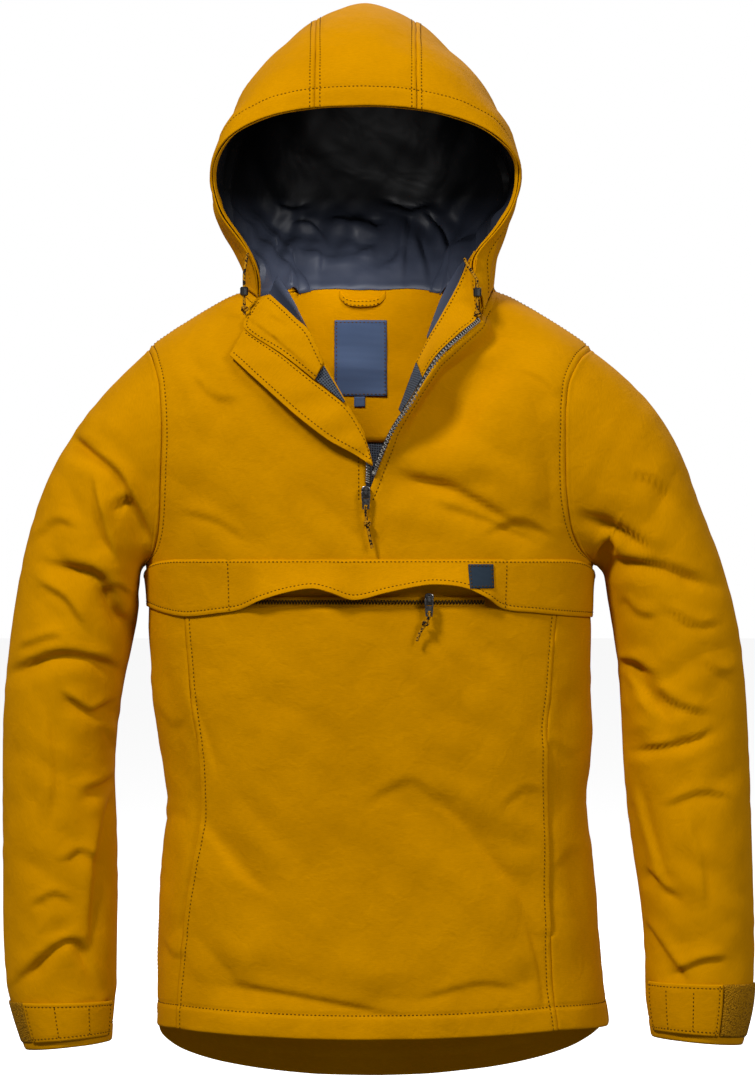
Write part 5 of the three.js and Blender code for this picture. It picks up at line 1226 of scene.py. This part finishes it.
BEHIND = (0, 4000, -60)
facing_roll = on_chest([(-45.5, -66), (-59, -35.5), (-72, -22.5), (-86, -9), (-98.5, 2.5)], 1.9)
facing_edge = on_chest([(-54, -83), (-87, -57), (-123.5, -31.5), (-118, -14), (-110.5, -3)], 4.6)
lapel = ribbon(facing_edge, facing_roll, 110, 40, 3, 0.6)
LAPEL_PUCKERS = [  # middle x, z; half its run in x and z; depth
    (-113, -27, 9, -6, 1.6), (-99, -38, 10, -7, 1.8), (-85, -50, 9, -8, 1.6), (-71, -62, 8, -8, 1.5),
    (-104, -13, 9, -3, 1.2), (-88, -26, 10, -7, 1.3),
]
puckers = [(0, 5, deep, 1, x - run_x, z - run_z, x, z, x + run_x, z + run_z)
           for x, z, run_x, run_z, deep in LAPEL_PUCKERS]
lapel[..., 1] += fold_depth(puckers, 0, lapel[..., 0], lapel[..., 2])
cloth_piece("left_front_facing", [(lapel, BEHIND)], ["facing_left"], FACING)
stitch_beside("stitching_neck", lapel, BEHIND, "left", 4)
stitch_beside("stitching_neck", lapel, BEHIND, "right", 5)

# Navy mesh: a knitted net with round holes about 2 mm apart, drawn 2.4 mm apart.
mesh_knit, tree, shader = new_finish("navy_knitted_mesh", 0.9, Specular_IOR_Level=0.25)
place = node(tree, "ShaderNodeTexCoord").outputs["UV"]
holes = node(tree, "ShaderNodeTexVoronoi", {"Scale": 1 / 0.0024, "Randomness": 0.15}, {"Vector": place})
net = node(tree, "ShaderNodeValToRGB", None, {"Fac": holes.outputs["Distance"]})
net.color_ramp.elements[0].position = 0.28
net.color_ramp.elements[0].color = linear("#10141c")
net.color_ramp.elements[1].position = 0.42
net.color_ramp.elements[1].color = linear("#49505a")
tree.links.new(net.outputs["Color"], shader.inputs["Base Color"])
bump = node(tree, "ShaderNodeBump", {"Strength": 0.6, "Distance": 0.0008},
            {"Height": holes.outputs["Distance"]})
tree.links.new(bump.outputs["Normal"], shader.inputs["Normal"])

lining_roll = on_chest([(-24, -104.5), (-35, -86), (-45, -69)], 1.9)
lining_edge = on_chest([(-25.5, -105), (-39, -94), (-54, -82.3)], 3.4)
cloth_piece("left_lining_edge", [(ribbon(lining_edge, lining_roll, 24, 8), BEHIND)],
            ["front_lining_left"], FACING, mesh_knit)

FLAP_SEAM = [(3, -164), (-6, -137), (-24, -108.5), (-54, -84.5), (-87, -58), (-124, -32)]
FLAP_EDGE = [(2, -168), (-12, -158), (-43, -140.5), (-76, -114.5), (-116, -78.5), (-138, -58)]
flap_seam = on_chest(FLAP_SEAM, [4.6, 3.4, 2.7, 2.7, 2.7, 2.7])
flap_edge = on_chest(FLAP_EDGE, [7, 9, 13, 14, 12, 8])
flap = ribbon(flap_edge, flap_seam, 110, 34, 2, 1.1)
cloth_piece("storm_flap_panel", [(flap, BEHIND)], ["storm_flap"], CLOTH)
stitch_beside("stitching_neck", flap, BEHIND, "left", 5)
stitch_beside("stitching_neck", flap, BEHIND, "right", 3)


def tape_line(line, side, gap, lift):
    """A line one gap to the side of a zip edge, across each of its runs."""
    line = np.asarray(line, float)
    ahead = np.roll(line, -1, 0) - np.roll(line, 1, 0)
    ahead[0], ahead[-1] = line[1] - line[0], line[-1] - line[-2]
    ahead = unit(ahead)
    return on_chest(line + gap * np.stack([-side * ahead[:, 1], side * ahead[:, 0]], axis=-1), lift)


TAPE_GAP, TAPE_WIDTH, FACING_GAP = 1.7, 2.8, 5.7
zip_edge_right = [(5.7, -176), *map(tuple, OPENING[1][1:])]
zip_edge_left = [(-4, -184), (-3.8, -171), (-4.1, -150)]
right_inner = [(45.6, -92, -64.3), (57.5, -82, -40.7), (68.2, -74, -21.6), (86.5, -63, 12), (96, -64, 34),
               (103, -69, 46)]
right_seam = tape_line([(56.2, -82.5), (66.9, -64.3), (90.7, -40.7), (108.5, -25.1)], 1, FACING_GAP, -LAID)
right_zip = np.concatenate([right_seam, [(102.8, -76.4, 14), (105.4, -76, 38)]])
right_facing = ribbon(right_inner, right_zip, 70, 24, -3, 0.8)
cloth_piece("right_front_facing", [(right_facing, BEHIND)], ["facing_right"], FACING)
stitch_beside("stitching_neck", right_facing, BEHIND, "right", 4)
stitch_beside("stitching_neck", right_facing, BEHIND, "left", 3)
sliver = ribbon([(28, -113, -112), (36, -104, -90), (45.3, -92.6, -65.1)],
                tape_line([(34.5, -118), (43.1, -104.8), (55.6, -83.5)], 1, FACING_GAP, -LAID), 24, 8)
cloth_piece("right_lining_edge", [(sliver, BEHIND)], ["front_lining_right"], FACING, mesh_knit)

# Below the collar the satin ends in two narrow points, between the facings and the yoke.
wedges = {
    "left": (on_chest([(-101, 1), (-86, -10), (-72, -23.5), (-58.5, -37)], -2.5),
             [(-92, -8, 24), (-78, -26, 2), (-67, -50, -20), (-58, -88, -38)]),
    "right": ([(95, -58, 38), (86, -60.5, 12), (68, -71.5, -21.6), (57, -81, -41)],
              [(88, -28, 32), (74, -30, 8), (65.5, -44, -12), (56, -76, -39)]),
}
for name, (outer, inner) in wedges.items():
    wedge = ribbon(outer, inner, 60, 24, 2, 1.6)
    cloth_piece(f"hood_satin_point_{name}", [(wedge, BEHIND)], [], FACING, satin)

# Inside of the back: the yoke facing below the neck, the mesh under it, and on the yoke a hanger
# loop and two woven labels, left bare.
inside_depth = CLOTH + LAID + FACING
YOKE_AIR = 2.2
IN_FRONT_LOW = (0, -4000, 0)
back_out, _ = outward(back_smooth, INSIDE)


def inside_back(rows, half, air):
    """A part of the back panel's own grid, moved inwards clear of its creases."""
    middle = back_smooth.shape[1] // 2
    part = back_smooth[rows[0]:rows[1], middle - half:middle + half + 1]
    out = back_out[rows[0]:rows[1], middle - half:middle + half + 1]
    depth = np.maximum(crease_depth(BODY_CREASES, 1, part[..., 0], part[..., 2]), 0) + inside_depth + air
    return part - depth[..., None] * out


yoke_row = TAIL_ROWS + 28
yoke = inside_back((yoke_row, back_smooth.shape[0]), 26, YOKE_AIR)
cloth_piece("back_yoke_panel", [(yoke, IN_FRONT_LOW)], ["back_yoke_facing"], FACING)
stitch_beside("stitching_neck", yoke, IN_FRONT_LOW, "low", 4)
cloth_piece("back_mesh_lining", [(inside_back((14, yoke_row + 3), 38, 0.8), IN_FRONT_LOW)],
            ["back_lining"], FACING, mesh_knit)

# Woven labels: satin-weave ribbon, slate blue in the neck and dark navy on the pocket, folded under
# and sewn on.


def woven_ribbon(name, dark, light):
    made, tree, shader = new_finish(name, 0.7, Specular_IOR_Level=0.2)
    place = node(tree, "ShaderNodeTexCoord").outputs["UV"]
    ribs = node(tree, "ShaderNodeTexWave",
                {"bands_direction": "Y", "Scale": wave_scale(0.0012), "Distortion": 0.6}, {"Vector": place})
    ink = node(tree, "ShaderNodeValToRGB", None, {"Fac": ribs.outputs["Fac"]})
    ink.color_ramp.elements[0].color = linear(dark)
    ink.color_ramp.elements[1].color = linear(light)
    tree.links.new(ink.outputs["Color"], shader.inputs["Base Color"])
    bump = node(tree, "ShaderNodeBump", {"Strength": 0.4, "Distance": 0.0003},
                {"Height": ribs.outputs["Fac"]})
    tree.links.new(bump.outputs["Normal"], shader.inputs["Normal"])
    return made


woven = woven_ribbon("slate_blue_woven_label", "#3b4a66", "#485a7a")
woven_dark = woven_ribbon("dark_navy_woven_label", "#1a2632", "#243442")


def on_yoke(x, z, depth):
    """Place inside the yoke: the body's back, moved in by all layers and this depth."""
    points = body_at(x, z, 1)
    out, _ = outward(points, INSIDE)
    creases = np.maximum(crease_depth(BODY_CREASES, 1, x, z), 0)
    return points - (creases + inside_depth + YOKE_AIR + depth)[..., None] * out


def patch_grid(x0, x1, z0, z1, columns, rows):
    return np.meshgrid(np.linspace(x0, x1, columns), np.linspace(z0, z1, rows))


FRONTWARDS, LABEL_LIFT = (0, 4000, 0), 2.6
EDGES = ("left", "right", "low", "high")
label_x, label_z = patch_grid(-36.6, 17.1, -92.9, -14.7, 28, 40)
label = on_yoke(label_x, label_z, LABEL_LIFT)
label[..., 1] -= 0.7 * np.sin(label_z / 9) * np.sin(label_x / 14)
cloth_piece("neck_label_ribbon", [(label, FRONTWARDS)], ["neck_label"], FACING, woven)
for edge in EDGES:
    stitch_beside("stitching_label", label, FRONTWARDS, edge, 2)
tab_x, tab_z = patch_grid(-16.3, -5.2, -104, -93.5, 8, 8)
cloth_piece("size_tab_ribbon", [(on_yoke(tab_x, tab_z, LABEL_LIFT), FRONTWARDS)], ["size_label"], FACING,
            woven)
share, up = np.meshgrid(np.linspace(0, 1, 60), np.linspace(0, 1, 8))
loop_z = 9 - 10 * (1 - (2 * share - 1) ** 4) + up * 7
loop = on_yoke(-32 + 48 * share, loop_z, 1.5)
loop[..., 1] -= 7 * np.sin(math.pi * share)
cloth_piece("hanger_loop_strip", [(loop, FRONTWARDS)], ["hanger_loop"], FACING)
for edge in ("low", "high"):
    stitch_beside("stitching_neck", loop, FRONTWARDS, edge, 1.5, 0.06, 0.94)
pocket_x, pocket_z = patch_grid(95.5, 120, -287, -263.6, 20, 20)
points, out = on_band(pocket_x, pocket_z)
lift = BAND_AIR + CLOTH + band_lift(pocket_x, pocket_z) + 1.6
pocket_label = points + (lift - ripples(pocket_x, pocket_z))[..., None] * out
cloth_piece("pocket_label_ribbon", [(pocket_label, INSIDE)], ["pocket_label"], FACING, woven_dark)
for edge in EDGES:
    stitch_beside("stitching_label", pocket_label, INSIDE, edge, 1.8)


# Zips: woven tape with a nylon coil sewn along its edge, dark metal sliders with a bridge, and a
# flat pull tab that hangs in the bridge. The pocket's tape is of shell cloth, with a brown coil whose colour
# is painted darker than its own, as painted shade under the pocket flap.
tape_cloth, tree, shader = new_finish("black_woven_tape", 0.85, Specular_IOR_Level=0.3)
place = node(tree, "ShaderNodeTexCoord").outputs["UV"]
ribs = node(tree, "ShaderNodeTexWave", {"bands_direction": "DIAGONAL", "Scale": wave_scale(0.0011)},
            {"Vector": place})
ink = node(tree, "ShaderNodeValToRGB", None, {"Fac": ribs.outputs["Fac"]})
ink.color_ramp.elements[0].color = linear("#1b1a19")
ink.color_ramp.elements[1].color = linear("#33302c")
tree.links.new(ink.outputs["Color"], shader.inputs["Base Color"])

TAPE_FAR = TAPE_GAP + TAPE_WIDTH
for name, line, side, gaps, rows in (("right", zip_edge_right, 1, (TAPE_FAR, TAPE_GAP), 60),
                                     ("left", zip_edge_left, -1, (TAPE_GAP, TAPE_FAR), 20)):
    tape = ribbon(*(tape_line(line, side, gap, -SEAM) for gap in gaps), rows, 5)
    cloth_piece(f"zip_tape_{name}_strip", [(tape, BEHIND)], [f"zip_tape_{name}"], FACING, tape_cloth)
POCKET_ZIP = -301.0
tape_x = front_x(np.linspace(-5, 5, 90) / 8, np.full(90, POCKET_ZIP))
tape_points = np.stack([body_at(tape_x, np.full(90, POCKET_ZIP + dz), -1) for dz in (-5, -2.5, 0, 2.5, 5)])
tape_out, _ = outward(tape_points, INSIDE)
pocket_tape = tape_points - 3.4 * tape_out
cloth_piece("pocket_zip_tape_strip", [(pocket_tape, INSIDE)], ["pocket_zip_tape"], FACING, shell_cloth)

# Nylon coil with a dark metallic bloom, a 1.6 mm pitch drawn at 3.1 mm so that its turns show.
coil_nylon, tree, shader = new_finish("gunmetal_coil", 0.38, Metallic=0.7)
shader.inputs["Base Color"].default_value = linear("#8f8c86")
# The pocket's coil: brown nylon, its colour painted darker than its own to stand in for the shade under the
# pocket flap.
shade_darkened_brown_coil, tree, shader = new_finish("brown_nylon_coil_painted_shade", 0.7, Specular_IOR_Level=0.2)
shader.inputs["Base Color"].default_value = linear("#42300a")
COIL_PITCH, COIL_WIDE, COIL_DEEP, COIL_WIRE = 3.1, 1.8, 0.8, 0.62
COIL_STEPS, COIL_SIDES = 10, 6
FORWARD = np.array([[0, -1, 0]], float)


def zip_coil(name, line, material):
    """A flattened helix along a line: across by a cosine, to the front by a smaller sine, one turn in
    each pitch, swept as a six-sided wire with a cap at each end."""
    length = np.linalg.norm(np.diff(line, axis=0), axis=1).sum()
    count = int(length / COIL_PITCH * COIL_STEPS)
    route = smooth_line(line, count)
    ahead = unit(np.gradient(route, axis=0))
    front = unit(FORWARD - (FORWARD * ahead).sum(1)[:, None] * ahead)
    across = np.cross(ahead, front)
    turn = np.arange(count) * 2 * math.pi / COIL_STEPS
    path = route + COIL_WIDE * np.cos(turn)[:, None] * across + COIL_DEEP * np.sin(turn)[:, None] * front
    along_path = unit(np.gradient(path, axis=0))
    one = unit(np.cross(along_path, ahead))
    tube = round_wire(path, one, np.cross(along_path, one), COIL_WIRE, COIL_SIDES)
    last = COIL_SIDES * (count - 1)
    caps = [list(range(COIL_SIDES - 1, -1, -1)), [last + i for i in range(COIL_SIDES)]]
    faces = ring_faces(count, COIL_SIDES).tolist() + caps
    data = bpy.data.meshes.new(name)
    data.from_pydata((tube.reshape(-1, 3) * MM).tolist(), [], faces)
    data.materials.append(material)
    data.polygons.foreach_set("use_smooth", [True] * len(data.polygons))
    piece = bpy.data.objects.new(name, data)
    scene.collection.objects.link(piece)
    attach(piece, "garment")


zip_coil("zip_coil_right", tape_line(zip_edge_right, 1, TAPE_GAP + 0.2, 0.9), coil_nylon)
zip_coil("zip_coil_left", tape_line(zip_edge_left, -1, TAPE_GAP + 0.2, 0.9), coil_nylon)
coil_x = front_x(np.linspace(-4.9, 4.9, 40) / 8, np.full(40, POCKET_ZIP))
zip_coil("pocket_zip_coil", body_at(coil_x, np.full(40, POCKET_ZIP), -1) + (0, 2.4, 0), shade_darkened_brown_coil)

# Slider, bridge and pull tab: die-cast zinc, plated dark and rubbed bright along its edges.
gunmetal, tree, shader = new_finish("plated_dark_zinc", 0.34, Metallic=1.0)
place = node(tree, "ShaderNodeTexCoord").outputs["Object"]
wear = node(tree, "ShaderNodeTexNoise", {"Scale": 400, "Detail": 3}, {"Vector": place})
tone = node(tree, "ShaderNodeValToRGB", None, {"Fac": wear.outputs["Fac"]})
tone.color_ramp.elements[0].position = 0.35
tone.color_ramp.elements[0].color = linear("#4b4a4a")
tone.color_ramp.elements[1].position = 0.75
tone.color_ramp.elements[1].color = linear("#8b8884")
tree.links.new(tone.outputs["Color"], shader.inputs["Base Color"])


def finished_part(name, node_name, body, material, edge):
    """A hard part from its solid: loose triangles welded, and its edges rounded by a bevel."""
    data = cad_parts[node_name].data.copy()
    work = bmesh.new()
    work.from_mesh(data)
    bmesh.ops.remove_doubles(work, verts=work.verts, dist=0.01 * MM)
    bmesh.ops.dissolve_limit(work, angle_limit=math.radians(2), verts=work.verts, edges=work.edges)
    work.to_mesh(data)
    work.free()
    data.materials.clear()
    data.materials.append(material)
    piece = bpy.data.objects.new(name, data)
    scene.collection.objects.link(piece)
    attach(piece, body)
    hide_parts(node_name)
    bevel = piece.modifiers.new("rounded_edges", "BEVEL")
    bevel.width = edge * MM
    bevel.segments = 2
    bevel.limit_method = "ANGLE"
    bevel.angle_limit = math.radians(35)
    for polygon in data.polygons:
        polygon.use_smooth = False


for zip_name, tab in (("zip", "zip_tab"), ("pocket_zip", "pocket_tab")):
    finished_part(f"{zip_name}_slider_body", f"{zip_name}_slider", "garment", gunmetal, 0.6)
    finished_part(f"{zip_name}_slider_bridge", f"{zip_name}_bridge", "garment", gunmetal, 0.3)
    finished_part(f"{zip_name}_pull_tab", f"{zip_name}_pull", tab, gunmetal, 0.25)

# Cord locks: moulded black acetal, slightly glossy, with a fine moulded grain.
acetal, tree, shader = new_finish("black_moulded_acetal", 0.42)
place = node(tree, "ShaderNodeTexCoord").outputs["Object"]
grain = node(tree, "ShaderNodeTexNoise", {"Scale": 900, "Detail": 2}, {"Vector": place})
shader.inputs["Base Color"].default_value = linear("#1c1a18")
bump = node(tree, "ShaderNodeBump", {"Strength": 0.2, "Distance": 0.0002}, {"Height": grain.outputs["Fac"]})
tree.links.new(bump.outputs["Normal"], shader.inputs["Normal"])
for lock in (left_lock, right_lock):
    lock.data.materials.clear()
    lock.data.materials.append(acetal)


# Cuff straps: shell cloth doubled round a stiffener, closed over a patch of hooks.
hooks, tree, shader = new_finish("ochre_hook_tape", 0.95, Specular_IOR_Level=0.1)
place = node(tree, "ShaderNodeTexCoord").outputs["UV"]
bristle = node(tree, "ShaderNodeTexVoronoi", {"Scale": 1 / 0.0016}, {"Vector": place})
ink = node(tree, "ShaderNodeValToRGB", None, {"Fac": bristle.outputs["Distance"]})
ink.color_ramp.elements[0].color = linear("#c08608")
ink.color_ramp.elements[1].color = linear("#6e4a04")
tree.links.new(ink.outputs["Color"], shader.inputs["Base Color"])
bump = node(tree, "ShaderNodeBump", {"Strength": 1, "Distance": 0.0012},
            {"Height": bristle.outputs["Distance"]})
tree.links.new(bump.outputs["Normal"], shader.inputs["Normal"])

# Where each strap and patch begins and ends, in eighths of a half turn round the sleeve.
CUFF_STOPS = {-1: {"strap": (1, 6), "patch": (6.05, 9)}, 1: {"strap": (1, 5), "patch": (5.05, 8)}}
CUFF_AIR = {-1: 1.1, 1: 1.3}
for side, name in ((-1, "left"), (1, "right")):
    for part, thickness, extra, material, slot in (("strap", CLOTH, 0.8, shell_cloth, "shell_cloth"),
                                                   ("patch", FACING, 0.2, hooks, "hook_and_loop")):
        first, last = CUFF_STOPS[side][part]
        k = np.linspace(12.8, 11.6, 30)[:, None]
        turn = (np.linspace(first, last, 80) * math.pi / 8)[None, :]
        k, turn = np.broadcast_arrays(k, turn)
        over_back = turn > math.pi
        behind = sleeve_smooth(side, k, np.where(over_back, turn, 1.2 * math.pi))
        before = sleeve_smooth(side, k, np.where(over_back, 0.8 * math.pi, turn))
        points = np.where(over_back[..., None], behind, before)
        axis = arm_axis(side, k)
        relief = 0 * k
        for edge in EDGES:
            gap, _ = edge_distance(points, edge)
            relief = relief + 0.8 * bell(gap, 0, 1.3)
            if part == "strap":
                relief = relief + 0.4 * bell(gap, 4, 1.2)
        points = sunk(points, axis, relief - CUFF_AIR[side] - thickness - extra)
        cloth_piece(f"cuff_{part}_{name}_piece", [(points, axis)], [f"cuff_{part}_{name}"], thickness,
                    material)
        if part == "strap":
            for edge in EDGES:
                stitch_beside(f"stitching_cuff_{name}", points, axis, edge, 4)
            normals, _ = outward(points, axis)
            for column in (26, 52):
                stitch_along(f"stitching_cuff_{name}", points[2:-2, column], normals[2:-2, column])


# Stitching: polyester thread a shade browner than the cloth. Each stitch is a small spindle of 24
# triangles that lies in the cloth, 2.4 mm long in every 4 mm.
thread, tree, shader = new_finish("brown_polyester_thread", 0.8, Specular_IOR_Level=0.1)
place = node(tree, "ShaderNodeTexCoord").outputs["Object"]
twist = node(tree, "ShaderNodeTexNoise", {"Scale": 900, "Detail": 1}, {"Vector": place})
ink = node(tree, "ShaderNodeValToRGB", None, {"Fac": twist.outputs["Fac"]})
ink.color_ramp.elements[0].color = linear("#452c00")
ink.color_ramp.elements[1].color = linear("#6a4603")
tree.links.new(ink.outputs["Color"], shader.inputs["Base Color"])
THREAD, STITCH_PITCH = 0.5, 4.0
SPIN = np.arange(4) * math.pi / 2


def stitch_mesh(lines):
    """Stitches along lines: each is two square rings and two tips, set on the line by its direction
    and the cloth's outward direction."""
    places, faces = [], []
    ring = np.array([(u, THREAD * math.cos(s), THREAD * math.sin(s)) for u in (-0.55, 0.55) for s in SPIN])
    shape = np.concatenate([ring, [(-1, 0, -0.35), (1, 0, -0.35)]])
    quads = [[i, (i + 1) % 4, 4 + (i + 1) % 4, 4 + i] for i in range(4)]
    fans = [[8, (i + 1) % 4, i] for i in range(4)] + [[9, 4 + i, 4 + (i + 1) % 4] for i in range(4)]
    triangles = np.array([t for a, b, c, d in quads for t in ([a, b, c], [a, c, d])] + fans)
    start = 0
    for points, normals in lines:
        steps = run_along(points, 0)
        count = int(steps[-1] / STITCH_PITCH)
        if count < 2:
            continue
        at = (np.arange(count) + 0.5) * STITCH_PITCH
        middle, front, rear, up = (
            np.stack([np.interp(where, steps, line[:, c]) for c in range(3)], axis=-1)
            for where, line in ((at, points), (at + 1, points), (at - 1, points), (at, normals)))
        ahead = unit(front - rear)
        up = unit(up - (up * ahead).sum(1)[:, None] * ahead)
        across = np.cross(up, ahead)
        made = ((middle + THREAD / 2 * up)[:, None] + shape[None, :, :1] * ahead[:, None] * STITCH_PITCH * 0.3
                + shape[None, :, 1:2] * across[:, None] + shape[None, :, 2:] * up[:, None])
        places.append(made.reshape(-1, 3))
        faces.append((triangles[None] + start + np.arange(count)[:, None, None] * len(shape)).reshape(-1, 3))
        start += count * len(shape)
    return np.concatenate(places), np.concatenate(faces)


for group, lines in stitch_lines.items():
    places, faces = stitch_mesh(lines)
    mesh_piece(group, places, faces, thread, "garment")


# Room: a pale matt floor that throws no light back, a soft light high on the front left, a weak one on
# the right, one behind and a small one inside the neck, in pale surroundings.
FLOOR = -0.83
plane = np.stack(np.meshgrid(np.linspace(-30, 30, 3), np.linspace(-30, 30, 3)), axis=-1).reshape(-1, 2)
floor_data = bpy.data.meshes.new("floor")
floor_data.from_pydata(np.column_stack([plane, np.full(9, FLOOR)]).tolist(), [], sheet_faces(3, 3).tolist())
floor_finish, tree, shader = new_finish("matt_white_paper", 0.95, Specular_IOR_Level=0.0,
                                        Emission_Strength=0.78)
shader.inputs["Base Color"].default_value = linear("#f4f4f4")
shader.inputs["Emission Color"].default_value = linear("#ffffff")
floor_data.materials.append(floor_finish)
floor = bpy.data.objects.new("floor", floor_data)
scene.collection.objects.link(floor)
floor.visible_diffuse = False
floor.visible_glossy = False


def soft_light(name, place, aim, size, power):
    data = bpy.data.lights.new(name, "AREA")
    data.shape = "SQUARE"
    data.size = size
    data.energy = power
    light = bpy.data.objects.new(name, data)
    light.location = place
    way = np.array(aim, float) - np.array(place, float)
    tilt, turn = math.acos(-way[2] / np.linalg.norm(way)), math.atan2(way[1], way[0]) - math.pi / 2
    light.rotation_euler = (tilt, 0, turn)
    light.visible_camera = False
    scene.collection.objects.link(light)


soft_light("key", (-2.3, -3.0, 3.4), (0, 0, -0.3), 0.9, 240)
soft_light("fill", (2.1, -2.6, 1.2), (0.05, 0, -0.55), 1.2, 50)
soft_light("neck", (-0.02, -0.04, 0.03), (0, 0.09, -0.06), 0.06, 0.26)
soft_light("behind", (0.6, 2.6, 2.2), (0, 0, -0.2), 1.6, 56)
world = bpy.data.worlds.new("studio")
world.use_nodes = True
scene.world = world
tree = world.node_tree
tree.nodes.clear()
seen = node(tree, "ShaderNodeLightPath").outputs["Is Camera Ray"]
pale = node(tree, "ShaderNodeBackground", {"Color": linear("#ffffff"), "Strength": 1.0})
air = node(tree, "ShaderNodeBackground", {"Color": linear("#ffffff"), "Strength": 0.17})
both = node(tree, "ShaderNodeMixShader", None, {0: seen, 1: air.outputs[0], 2: pale.outputs[0]})
node(tree, "ShaderNodeOutputWorld", None, {"Surface": both.outputs[0]})
scene.view_settings.view_transform = "Standard"
